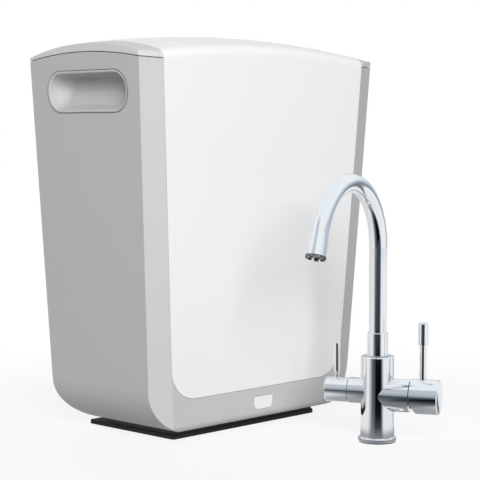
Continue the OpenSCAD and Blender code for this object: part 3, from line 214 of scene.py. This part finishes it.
dressed = {
    "casing_grey": ["housing", "left_grip_cup", "right_grip_cup"],
    "frame_grey": ["front_frame"],
    "lid_grey": ["lid"],
    "cover_white": ["front_cover", "status_button"],
    # The base plinth and the foot plate are near black, partly their own colour and partly painted shade
    # under the casing
    "base_black_and_underside_shade": ["base_plinth"],
    "foot_rubber": ["foot_plate", "pump_mounts", "socket_seals", "tap_base_seal", "spout_seals"],
    "inner_black": ["manifold", "pump_head", "inlet_coil", "flush_coil", "power_inlet"],
    "chassis_grey": ["chassis"],
    "cartridge_shell": ["sediment_cartridge", "membrane_cartridge", "carbon_cartridge"],
    "valve_white": ["inlet_valve", "flush_valve", "spout_bush", "mixer_valve", "rear_ports", "port_nuts"],
    "tube_white": ["feed_tube", "pump_inlet_tube", "pump_outlet_tube", "product_tube", "drain_tube",
                   "filtered_water_tube"],
    "board_green": ["button_board", "control_board"],
    "collet_blue": ["feed_collet", "product_collet", "drain_collet"],
    "switch_grey": ["pressure_switch"],
    "polished_chrome": ["tap_base_ring", "tap_body", "spout_collar", "spout_tube", "mixer_knob", "mixer_rod",
                        "mixer_grip", "filter_knob", "filter_lever"],
    "outlet_chrome": ["spout_outlet"],
    "zinc_plate": ["cover_screws", "chassis_screws", "pump_bracket", "pump_motor"],
    "turned_brass": ["hose_sockets", "mixer_pin", "filter_valve"],
    # Valve nut and spindle inside the boss: painted shade in the gap round the knob
    "brass_darkened_as_gap_shade": ["mixer_valve_nut", "mixer_spindle"],
    "bare_aluminium": ["power_supply"],
}

for finish, names in dressed.items():
    for name in names:
        mesh = nodes[name].data
        mesh.materials.clear()
        mesh.materials.append(finishes[finish])


def plain_mesh(name, verts, faces):
    mesh = bpy.data.meshes.new(name)
    mesh.from_pydata(verts, [], faces)
    mesh.update()
    thing = bpy.data.objects.new(name, mesh)
    bpy.context.scene.collection.objects.link(thing)
    return thing


# Carrying pockets: smooth scooped bowls with a rounded rim

CASE_HALF = 0.191
SEAM_HEIGHT = 0.42
SIDE_TAPER = 0.028
SIDE_LEAN = math.atan(SIDE_TAPER / SEAM_HEIGHT)
GRIP_WIDTH = 0.133
GRIP_HEIGHT = 0.0465
GRIP_MIDDLE = 0.3846
GRIP_RIM = 0.0035
RIM_PROUD = 0.0008
RIM_ROUND = 0.0012
RIM_UNDERCUT = 0.0012
RIM_LIP = 0.0006
POCKET_DEPTH = 0.028
POCKET_LIP = 0.0008
TOP_BLEND = 0.004
END_BLEND = 0.014
POCKET_WALL = 0.0022
END_FLAT = 0.001
LEAST_RADIUS = 0.0002
BOWL_MIDDLE = 0.0012
BOWL_CROWDING = 1.8
BOWL_CREASE = math.radians(55)
CORNER_STEPS = 20
RIM_STEPS = 4
BOWL_STEPS = 26
# The outer rings of each bowl's rim are painted dark, as painted shade in the gap between bowl and casing
RIM_GAP_SHADE = "rim_gap_shade"
RIM_GAP_SHADE_RINGS = 3
RIM_GAP_SHADE_TONE = (0.06, 0.06, 0.062, 1)

paint_gap_shade(finishes["pocket_grey"], RIM_GAP_SHADE, RIM_GAP_SHADE_TONE)

pocket_height = GRIP_HEIGHT - 2 * GRIP_RIM
scoop_back = ((pocket_height ** 2 - POCKET_DEPTH ** 2 + POCKET_LIP ** 2)
              / (2 * (POCKET_DEPTH - POCKET_LIP)))
scoop_radius = scoop_back + POCKET_DEPTH


def rim_outline(inset):
    """Round-ended outline of the pocket, drawn in from its rim."""
    half_w = GRIP_WIDTH / 2 - inset
    half_h = GRIP_HEIGHT / 2 - inset
    radius = max(GRIP_HEIGHT / 2 - END_FLAT - inset, LEAST_RADIUS)
    points = []
    for corner in range(4):
        sign_u = 1 if corner in (0, 3) else -1
        sign_w = 1 if corner < 2 else -1
        for step in range(CORNER_STEPS + 1):
            a = math.radians(90 * corner) + math.radians(90) * step / CORNER_STEPS
            points.append((sign_u * (half_w - radius) + radius * math.cos(a),
                           sign_w * (half_h - radius) + radius * math.sin(a)))
    return points


def pocket_depth(inset, u, w):
    """Depth of the visible face at a distance in from the rim, along the side and up it."""
    if inset < RIM_ROUND:
        return -RIM_LIP - (RIM_PROUD - RIM_LIP) * math.sin(math.pi / 2 * inset / RIM_ROUND)
    if inset < GRIP_RIM - RIM_ROUND:
        return -RIM_PROUD
    if inset < GRIP_RIM:
        return -RIM_PROUD * math.cos(math.pi / 2 * (inset - GRIP_RIM + RIM_ROUND) / RIM_ROUND)
    below_top = min(max(pocket_height / 2 - w, 0.0), pocket_height)
    scoop = math.sqrt(max(scoop_radius ** 2 - below_top ** 2, 0.0)) - scoop_back
    round_end = GRIP_HEIGHT / 2 - inset
    endward = min(max((abs(u) - GRIP_WIDTH / 2 + GRIP_HEIGHT / 2) / round_end, 0.0), 1.0)
    run = min((inset - GRIP_RIM) / (TOP_BLEND + (END_BLEND - TOP_BLEND) * endward), 1.0)
    return max(scoop, POCKET_LIP) * math.sqrt(1 - (1 - run) ** 2)


def bowl_insets():
    """Distances in from the rim's outer edge, crowded where the bowl turns down."""
    rim = [RIM_ROUND * i / RIM_STEPS for i in range(RIM_STEPS + 1)]
    rim += [GRIP_RIM - RIM_ROUND + RIM_ROUND * i / RIM_STEPS for i in range(RIM_STEPS + 1)]
    deepest = GRIP_HEIGHT / 2 - BOWL_MIDDLE
    bowl = [GRIP_RIM + (deepest - GRIP_RIM) * (i / BOWL_STEPS) ** BOWL_CROWDING
            for i in range(1, BOWL_STEPS + 1)]
    return rim + bowl


def on_side(u, w, d, side):
    """Point of a casing side: along it, up it and in from it."""
    half = CASE_HALF - (SEAM_HEIGHT - GRIP_MIDDLE) * math.tan(SIDE_LEAN)
    x = -half + d * math.cos(SIDE_LEAN) - w * math.sin(SIDE_LEAN)
    z = GRIP_MIDDLE + d * math.sin(SIDE_LEAN) + w * math.cos(SIDE_LEAN)
    return (x if side == "left" else -x, u, z)


def make_bowl(name, side):
    """Closed bowl: the rings of its visible face, then those of its back."""
    verts = []
    faces = []
    count = 4 * (CORNER_STEPS + 1)
    insets = bowl_insets()
    for inset in insets:
        for u, w in rim_outline(inset):
            verts.append(on_side(u, w, pocket_depth(inset, u, w), side))
    behind = [i for i in reversed(insets) if i > RIM_UNDERCUT]
    for inset in behind:
        for u, w in rim_outline(inset):
            depth = pocket_depth(inset, u, w) + POCKET_WALL if inset > GRIP_RIM / 2 else 0.0
            verts.append(on_side(u, w, depth, side))
    rings = len(insets) + len(behind)
    for r in range(rings):
        if r == len(insets) - 1:
            continue
        nxt = (r + 1) % rings
        for i in range(count):
            j = (i + 1) % count
            faces.append((r * count + i, r * count + j, nxt * count + j, nxt * count + i))
    for r in (len(insets) - 1, len(insets)):
        faces.append(tuple(r * count + i for i in range(count)))
    bowl = plain_mesh(name, verts, faces)
    work = bmesh.new()
    work.from_mesh(bowl.data)
    bmesh.ops.triangulate(work, faces=[f for f in work.faces if len(f.verts) > 4])
    bmesh.ops.recalc_face_normals(work, faces=work.faces)
    work.to_mesh(bowl.data)
    work.free()
    bowl.data.shade_smooth()
    bowl.data.set_sharp_from_angle(angle=BOWL_CREASE)
    # Painted gap shade: the outer rim rings are marked for darkening
    mark = bowl.data.attributes.new(RIM_GAP_SHADE, "FLOAT", "POINT")
    marked = [float(r < RIM_GAP_SHADE_RINGS) for r in range(rings) for _ in range(count)]
    mark.data.foreach_set("value", marked)
    bowl.data.materials.append(finishes["pocket_grey"])
    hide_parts(f"{side}_grip_cup")
    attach(bowl, "unit")


make_bowl("left_grip_bowl", "left")
make_bowl("right_grip_bowl", "right")


# Geometry Nodes helpers

class NodeTree:
    """A Geometry Nodes tree with named sizes, built node by node."""

    def __init__(self, name, sizes):
        self.group = bpy.data.node_groups.new(name, "GeometryNodeTree")
        self.group.interface.new_socket("Geometry", in_out="OUTPUT", socket_type="NodeSocketGeometry")
        self.sizes = sizes
        self.identifiers = {}
        for label, value in sizes.items():
            kind = "NodeSocketInt" if isinstance(value, int) else "NodeSocketFloat"
            socket = self.group.interface.new_socket(label, in_out="INPUT", socket_type=kind)
            self.identifiers[label] = socket.identifier
        self.entry = self.group.nodes.new("NodeGroupInput")
        self.exit = self.group.nodes.new("NodeGroupOutput")

    def size(self, label):
        return self.entry.outputs[label]

    def feed(self, socket, value):
        if hasattr(value, "is_output"):
            self.group.links.new(value, socket)
        else:
            socket.default_value = value

    def add(self, kind, inputs=None, **settings):
        node = self.group.nodes.new(kind)
        for key, value in settings.items():
            setattr(node, key, value)
        for key, value in (inputs or {}).items():
            self.feed(node.inputs[key], value)
        return node

    def math(self, operation, first, second=0.0):
        return self.add("ShaderNodeMath", {0: first, 1: second}, operation=operation).outputs["Value"]

    def vector(self, x=0.0, y=0.0, z=0.0):
        return self.add("ShaderNodeCombineXYZ", {"X": x, "Y": y, "Z": z}).outputs["Vector"]

    def finish(self, geometry, material):
        solid = self.add("GeometryNodeRealizeInstances", {"Geometry": geometry})
        painted = self.add("GeometryNodeSetMaterial",
                           {"Geometry": solid.outputs["Geometry"], "Material": material})
        self.group.links.new(painted.outputs["Geometry"], self.exit.inputs["Geometry"])


RIB_CREASE = math.radians(40)
RIB_SIDES = 10


def grow_piece(name, tree, body, smooth=True):
    """Plain mesh made by a tree at its own sizes, riding on a body."""
    piece = plain_mesh(name, [], [])
    modifier = piece.modifiers.new("grow", "NODES")
    modifier.node_group = tree.group
    for label, value in tree.sizes.items():
        modifier[tree.identifiers[label]] = value
    ready = piece.evaluated_get(bpy.context.evaluated_depsgraph_get())
    mesh = bpy.data.meshes.new_from_object(ready)
    piece.modifiers.clear()
    piece.data = mesh
    if smooth:
        mesh.shade_smooth()
        mesh.set_sharp_from_angle(angle=RIB_CREASE)
    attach(piece, body)
    return piece


def rib_ring(name, material, sizes):
    """Ring of round ribs along an axis that is upright or turned to lie along the depth."""
    tree = NodeTree(name, sizes)
    index = tree.add("GeometryNodeInputIndex").outputs["Index"]
    angle = tree.math("DIVIDE", tree.math("MULTIPLY", index, 2 * math.pi), tree.size("Count"))
    points = tree.add("GeometryNodePoints", {"Count": tree.size("Count")}).outputs["Geometry"]
    place = tree.vector(
        tree.math("MULTIPLY", tree.math("COSINE", angle), tree.size("Radius")),
        tree.math("MULTIPLY", tree.math("SINE", angle), tree.size("Radius")))
    ring = tree.add("GeometryNodeSetPosition", {"Geometry": points, "Position": place}).outputs["Geometry"]
    rib = tree.add("GeometryNodeMeshCylinder", {
        "Vertices": RIB_SIDES, "Radius": tree.size("Rib radius"), "Depth": tree.size("Rib length")})
    ribs = tree.add("GeometryNodeInstanceOnPoints",
                    {"Points": ring, "Instance": rib.outputs["Mesh"], "Rotation": tree.vector(z=angle)})
    set_down = tree.add("GeometryNodeTransform", {
        "Geometry": ribs.outputs["Instances"],
        "Translation": tree.vector(tree.size("Place X"), tree.size("Place Y"), tree.size("Place Z")),
        "Rotation": tree.vector(x=tree.size("Turn"))})
    tree.finish(set_down.outputs["Geometry"], material)
    return tree


def middle(low, high):
    return (low + high) / 2


# Grip ribs round each cartridge
CARTRIDGE_FLANGE = 0.0016
CARTRIDGE_HEAD = 0.105
CARTRIDGE_SHOULDER = 0.03
CARTRIDGE_RIB_SUNK = 0.0003

for body in ("sediment", "membrane", "carbon"):
    low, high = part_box(f"{body}_cartridge")
    ribs = rib_ring(f"{body}_ribs", finishes["cartridge_shell"], {
        "Count": 40,
        "Radius": middle(-low[0], high[0]) - CARTRIDGE_FLANGE - CARTRIDGE_RIB_SUNK,
        "Rib radius": 0.0011,
        "Rib length": CARTRIDGE_HEAD - CARTRIDGE_SHOULDER,
        "Place X": middle(low[0], high[0]),
        "Place Y": middle(low[1], high[1]),
        "Place Z": high[2] - middle(CARTRIDGE_HEAD, CARTRIDGE_SHOULDER),
        "Turn": 0.0})
    grow_piece(f"{body}_grip_ribs", ribs, body)

# Finger ridges on each release collet
COLLET_HEAD = 0.0016
RIDGE_SUNK = 0.0002
RIDGE_SHORT = 0.0002

for body in ("feed", "product", "drain"):
    low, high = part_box(f"{body}_collet")
    ridges = rib_ring(f"{body}_ridges", finishes["collet_blue"], {
        "Count": 22,
        "Radius": middle(-low[0], high[0]) - RIDGE_SUNK,
        "Rib radius": 0.0006,
        "Rib length": COLLET_HEAD - RIDGE_SHORT,
        "Place X": middle(low[0], high[0]),
        "Place Y": high[1] - COLLET_HEAD / 2,
        "Place Z": middle(low[2], high[2]),
        "Turn": math.pi / 2})
    grow_piece(f"{body}_collet_ridges", ridges, f"{body}_release")

# Cooling ribs on the pump motor
MOTOR_MARGIN = 0.009
MOTOR_RIB_SUNK = 0.0003

low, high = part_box("pump_motor")
fins = rib_ring("motor_fins", finishes["zinc_plate"], {
    "Count": 44,
    "Radius": middle(-low[0], high[0]) - MOTOR_RIB_SUNK,
    "Rib radius": 0.001,
    "Rib length": high[2] - low[2] - 2 * MOTOR_MARGIN,
    "Place X": middle(low[0], high[0]),
    "Place Y": middle(low[1], high[1]),
    "Place Z": middle(low[2], high[2]),
    "Turn": 0.0})
grow_piece("motor_cooling_ribs", fins, "unit")


# Small components in a free field of the control board

FIELD_ASIDE = 0.02
FIELD_PROUD = 0.0076
FIELD_BELOW = 0.024
CHIP_FLATNESS = 0.6
CHIP_LEAST = (0.5, 0.6, 0.5)
CHIP_MOST = (1.3, 1.5, 1.2)


def board_field(material):
    low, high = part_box("control_board")
    tree = NodeTree("board_field", {
        "Width": 0.05,
        "Height": 0.048,
        "Columns": 6,
        "Rows": 7,
        "Body": 0.0042,
        "Place X": middle(low[0], high[0]) + FIELD_ASIDE,
        "Place Y": low[1] + FIELD_PROUD,
        "Place Z": middle(low[2], high[2]) - FIELD_BELOW,
        "Seed": 7})
    grid = tree.add("GeometryNodeMeshGrid", {
        "Size X": tree.size("Width"), "Size Y": tree.size("Height"),
        "Vertices X": tree.size("Columns"), "Vertices Y": tree.size("Rows")})
    flat = tree.math("MULTIPLY", tree.size("Body"), CHIP_FLATNESS)
    chip = tree.add("GeometryNodeMeshCube", {"Size": tree.vector(tree.size("Body"), flat, flat)})
    swell = tree.add("FunctionNodeRandomValue", {"Seed": tree.size("Seed")}, data_type="FLOAT_VECTOR")
    swell.inputs[0].default_value = CHIP_LEAST
    swell.inputs[1].default_value = CHIP_MOST
    chips = tree.add("GeometryNodeInstanceOnPoints", {
        "Points": grid.outputs["Mesh"], "Instance": chip.outputs["Mesh"], "Scale": swell.outputs[0]})
    stood = tree.add("GeometryNodeTransform", {
        "Geometry": chips.outputs["Instances"],
        "Translation": tree.vector(tree.size("Place X"), tree.size("Place Y"), tree.size("Place Z")),
        "Rotation": tree.vector(x=math.pi / 2)})
    tree.finish(stood.outputs["Geometry"], material)
    return tree


grow_piece("board_components", board_field(finishes["inner_black"]), "unit",
           smooth=False)


# Stage: floor, a glowing surround that only reflections see and that paints the reflections in the chrome,
# world and lamps

def seen_or_mirrored(tree):
    """1 for camera, glossy and transmission rays, 0 for the rays that carry light."""
    rays = tree.nodes.new("ShaderNodeLightPath")
    total = rays.outputs["Is Camera Ray"]
    for kind in ("Is Glossy Ray", "Is Transmission Ray"):
        total = add_math(tree, "MAXIMUM", total, rays.outputs[kind])
    return total


def distance_from(tree, middle_point):
    """Distance of a point of the floor from a place on it."""
    place = tree.nodes.new("ShaderNodeTexCoord")
    reach = tree.nodes.new("ShaderNodeVectorMath")
    reach.operation = "DISTANCE"
    reach.inputs[1].default_value = middle_point
    tree.links.new(place.outputs["Object"], reach.inputs[0])
    return reach.outputs["Value"]


FLOOR_HALF = 6.0
FLOOR_MIDDLE = (0.0, -0.08, 0.0)
FLOOR_TONE = (0.45, 0.45, 0.45, 1)
FLOOR_SEEN_TONE = (0.86, 0.86, 0.86, 1)
FLOOR_NEAR_WHITENESS = 0.84
FADE_FROM = 0.3
FADE_TO = 0.75


def lay_floor():
    """Pale floor that keeps the shadow near the object and turns white further out."""
    h = FLOOR_HALF
    floor = plain_mesh("floor", [(-h, -h, 0), (h, -h, 0), (h, h, 0), (-h, h, 0)], [(0, 1, 2, 3)])
    material, tree, output = bare_material("pale_floor")
    matt = tree.nodes.new("ShaderNodeBsdfDiffuse")
    seen = seen_or_mirrored(tree)
    tree.links.new(colour_mix(tree, seen, FLOOR_TONE, FLOOR_SEEN_TONE), matt.inputs["Color"])
    glow = tree.nodes.new("ShaderNodeEmission")
    glow.inputs["Strength"].default_value = 1.0
    fade = tree.nodes.new("ShaderNodeMapRange")
    fade.interpolation_type = "SMOOTHSTEP"
    fade.inputs["From Min"].default_value = FADE_FROM
    fade.inputs["From Max"].default_value = FADE_TO
    fade.inputs["To Min"].default_value = FLOOR_NEAR_WHITENESS
    fade.inputs["To Max"].default_value = 1.0
    tree.links.new(distance_from(tree, FLOOR_MIDDLE), fade.inputs["Value"])
    mix = tree.nodes.new("ShaderNodeMixShader")
    tree.links.new(add_math(tree, "MULTIPLY", seen, fade.outputs["Result"]), mix.inputs["Fac"])
    tree.links.new(matt.outputs["BSDF"], mix.inputs[1])
    tree.links.new(glow.outputs["Emission"], mix.inputs[2])
    tree.links.new(mix.outputs["Shader"], output.inputs["Surface"])
    floor.data.materials.append(material)


# Glowing surround of the tap that only reflections see, painted reflections for the chrome: a round mat on
# the floor and a wall behind it
TAP_PLACE = Vector((0.0347, -0.226, 0.0))
SURROUND_NEAR = 0.024
SURROUND_RADIUS = 1.6
SURROUND_TOP = 2.4
SURROUND_STEPS = 96
MAT_LIFT = 0.0006
FULL_TURN = 360.0
surround_run = SURROUND_RADIUS + SURROUND_TOP

# Tones along the mat, by metres from the tap, and on up the wall
PALE_RUN = [(0.0, (0.3, 0.32, 0.34)), (0.06, (0.36, 0.38, 0.4)), (0.1, (0.82, 0.85, 0.87)),
            (0.8, (0.9, 0.93, 0.95)), (1.65, (0.86, 0.91, 0.95)), (1.8, (0.5, 0.57, 0.66)),
            (2.1, (0.46, 0.54, 0.63)), (2.35, (0.75, 0.82, 0.88)), (2.7, (0.9, 0.94, 0.97))]
DARK_RUN = [(0.0, (0.26, 0.28, 0.3)), (0.065, (0.18, 0.19, 0.2)), (0.11, (0.05, 0.055, 0.06)),
            (0.18, (0.008, 0.009, 0.01)), (0.3, (0.002, 0.002, 0.003)), (0.6, (0.003, 0.004, 0.005)),
            (1.0, (0.04, 0.048, 0.066)), (1.7, (0.045, 0.055, 0.078)), (1.9, (0.2, 0.23, 0.27)),
            (2.2, (0.5, 0.54, 0.58)), (2.4, (0.9, 0.95, 0.98))]
GREY_RUN = [(0.0, (0.3, 0.32, 0.34)), (0.06, (0.22, 0.24, 0.26)), (0.12, (0.14, 0.155, 0.17)),
            (0.25, (0.09, 0.1, 0.11)), (0.6, (0.07, 0.08, 0.09)), (1.0, (0.05, 0.06, 0.08)),
            (1.65, (0.09, 0.1, 0.12)), (1.85, (0.3, 0.34, 0.38)), (2.3, (0.5, 0.55, 0.6)),
            (3.3, (0.52, 0.57, 0.62)), (3.6, (0.7, 0.75, 0.8)), (3.9, (0.86, 0.91, 0.95))]

# Shares of the dark and the grey painted-reflection tones, by degrees round the tap
SHADED = [(155, 0.0), (162, 0.15), (169, 0.42), (177, 0.75), (185, 0.95), (192, 1.0),
          (240, 1.0), (249, 0.7), (257, 0.1), (262, 0.0), (342, 0.0), (347, 0.8), (352, 0.8), (357, 0.0)]
GREYED = [(198, 1.0), (207, 0.0)]


def tone_ramp(tree, factor, stops, span):
    """Tones that follow one another along a factor."""
    ramp = tree.nodes.new("ShaderNodeValToRGB")
    points = ramp.color_ramp.elements
    for i, (place, tone) in enumerate(stops):
        point = points[i] if i < 2 else points.new(place / span)
        point.position = place / span
        point.color = (*tone, 1) if isinstance(tone, tuple) else (tone, tone, tone, 1)
    tree.links.new(factor, ramp.inputs["Fac"])
    return ramp.outputs["Color"]


def surround_finish():
    """Painted reflection tones: pale, with dark and grey stretches where the turn round the tap calls for
    them.
    """
    material, tree, output = bare_material("painted_reflection_surround")
    glow = tree.nodes.new("ShaderNodeEmission")
    place = tree.nodes.new("ShaderNodeTexCoord")
    shift = tree.nodes.new("ShaderNodeVectorMath")
    shift.operation = "SUBTRACT"
    shift.inputs[1].default_value = TAP_PLACE
    tree.links.new(place.outputs["Object"], shift.inputs[0])
    axes = tree.nodes.new("ShaderNodeSeparateXYZ")
    tree.links.new(shift.outputs["Vector"], axes.inputs["Vector"])
    x, y, z = (axes.outputs[name] for name in ("X", "Y", "Z"))
    bearing = add_math(tree, "ARCTAN2", y, x)
    turn = add_math(tree, "FRACT", add_math(tree, "DIVIDE", bearing, 2 * math.pi))
    square = add_math(tree, "ADD", add_math(tree, "MULTIPLY", x, x), add_math(tree, "MULTIPLY", y, y))
    metres = add_math(tree, "ADD", add_math(tree, "SQRT", square), z)
    run = add_math(tree, "DIVIDE", metres, surround_run)
    pale, dark, grey = (tone_ramp(tree, run, stops, surround_run)
                        for stops in (PALE_RUN, DARK_RUN, GREY_RUN))
    shaded = tone_ramp(tree, turn, SHADED, FULL_TURN)
    greyed = tone_ramp(tree, turn, GREYED, FULL_TURN)
    tone = colour_mix(tree, shaded, pale, colour_mix(tree, greyed, dark, grey))
    tree.links.new(tone, glow.inputs["Color"])
    tree.links.new(glow.outputs["Emission"], output.inputs["Surface"])
    return material


def raise_surround():
    verts = []
    faces = []
    profile = ((SURROUND_NEAR, MAT_LIFT), (SURROUND_RADIUS, MAT_LIFT), (SURROUND_RADIUS, SURROUND_TOP))
    for i in range(SURROUND_STEPS):
        a = 2 * math.pi * i / SURROUND_STEPS
        for r, z in profile:
            verts.append((TAP_PLACE.x + r * math.cos(a), TAP_PLACE.y + r * math.sin(a), z))
    for i in range(SURROUND_STEPS):
        j = (i + 1) % SURROUND_STEPS
        for k in range(2):
            faces.append((3 * i + k, 3 * i + k + 1, 3 * j + k + 1, 3 * j + k))
    surround = plain_mesh("painted_reflection_surround", verts, faces)
    surround.data.materials.append(surround_finish())
    # Seen only in reflections, where its glow paints them
    surround.visible_camera = False
    surround.visible_diffuse = False
    surround.visible_shadow = False
    surround.visible_transmission = False


WORLD_FILL = 0.15
WHITE = (1, 1, 1, 1)
SKY_TINT = (0.86, 0.92, 0.97, 1)


def light_world():
    world = bpy.data.worlds.new("studio")
    bpy.context.scene.world = world
    world.use_nodes = True
    tree = world.node_tree
    tree.nodes.clear()
    output = tree.nodes.new("ShaderNodeOutputWorld")
    back = tree.nodes.new("ShaderNodeBackground")
    span = tree.nodes.new("ShaderNodeMapRange")
    span.inputs["To Min"].default_value = WORLD_FILL
    span.inputs["To Max"].default_value = 1.0
    tree.links.new(seen_or_mirrored(tree), span.inputs["Value"])
    tree.links.new(span.outputs["Result"], back.inputs["Strength"])
    # Reflections see a cooler tone overhead
    rays = tree.nodes.new("ShaderNodeLightPath")
    sky = colour_mix(tree, rays.outputs["Is Glossy Ray"], WHITE, SKY_TINT)
    tree.links.new(sky, back.inputs["Color"])
    tree.links.new(back.outputs["Background"], output.inputs["Surface"])


def add_lamp(name, place, aim, width, height, power):
    light = bpy.data.lights.new(name, "AREA")
    light.shape = "RECTANGLE"
    light.size = width
    light.size_y = height
    light.energy = power
    lamp = bpy.data.objects.new(name, light)
    lamp.location = place
    lamp.rotation_euler = (Vector(aim) - Vector(place)).to_track_quat("-Z", "Y").to_euler()
    lamp.visible_glossy = False
    lamp.visible_camera = False
    bpy.context.scene.collection.objects.link(lamp)


lay_floor()
raise_surround()
light_world()
add_lamp("key_lamp", place=(-3.19, -3.95, 2.37), aim=(0, -0.05, 0.22), width=3.6, height=2.6, power=328)
add_lamp("back_lamp", place=(2.6, 3.4, 2.2), aim=(0, 0, 0.2), width=3.0, height=3.0, power=120)

# Camera fitted to the photograph's edges
FOCAL_PIXELS = 1529.8
IMAGE_PIXELS = 480
SENSOR = 36.0
CLIP_START = 0.05
CAMERA_PLACE = (-1.2727, -1.2778, 0.3389)
CAMERA_DOWN = 3.98
CAMERA_TURN = -46.0

lens = bpy.data.cameras.new("photo_camera")
lens.sensor_fit = "HORIZONTAL"
lens.sensor_width = SENSOR
lens.lens = FOCAL_PIXELS / IMAGE_PIXELS * SENSOR
lens.clip_start = CLIP_START
camera = bpy.data.objects.new("photo_camera", lens)
camera.location = CAMERA_PLACE
camera.rotation_euler = (math.radians(90 - CAMERA_DOWN), 0, math.radians(CAMERA_TURN))
bpy.context.scene.collection.objects.link(camera)
bpy.context.scene.camera = camera

bpy.context.scene.view_settings.view_transform = "Standard"
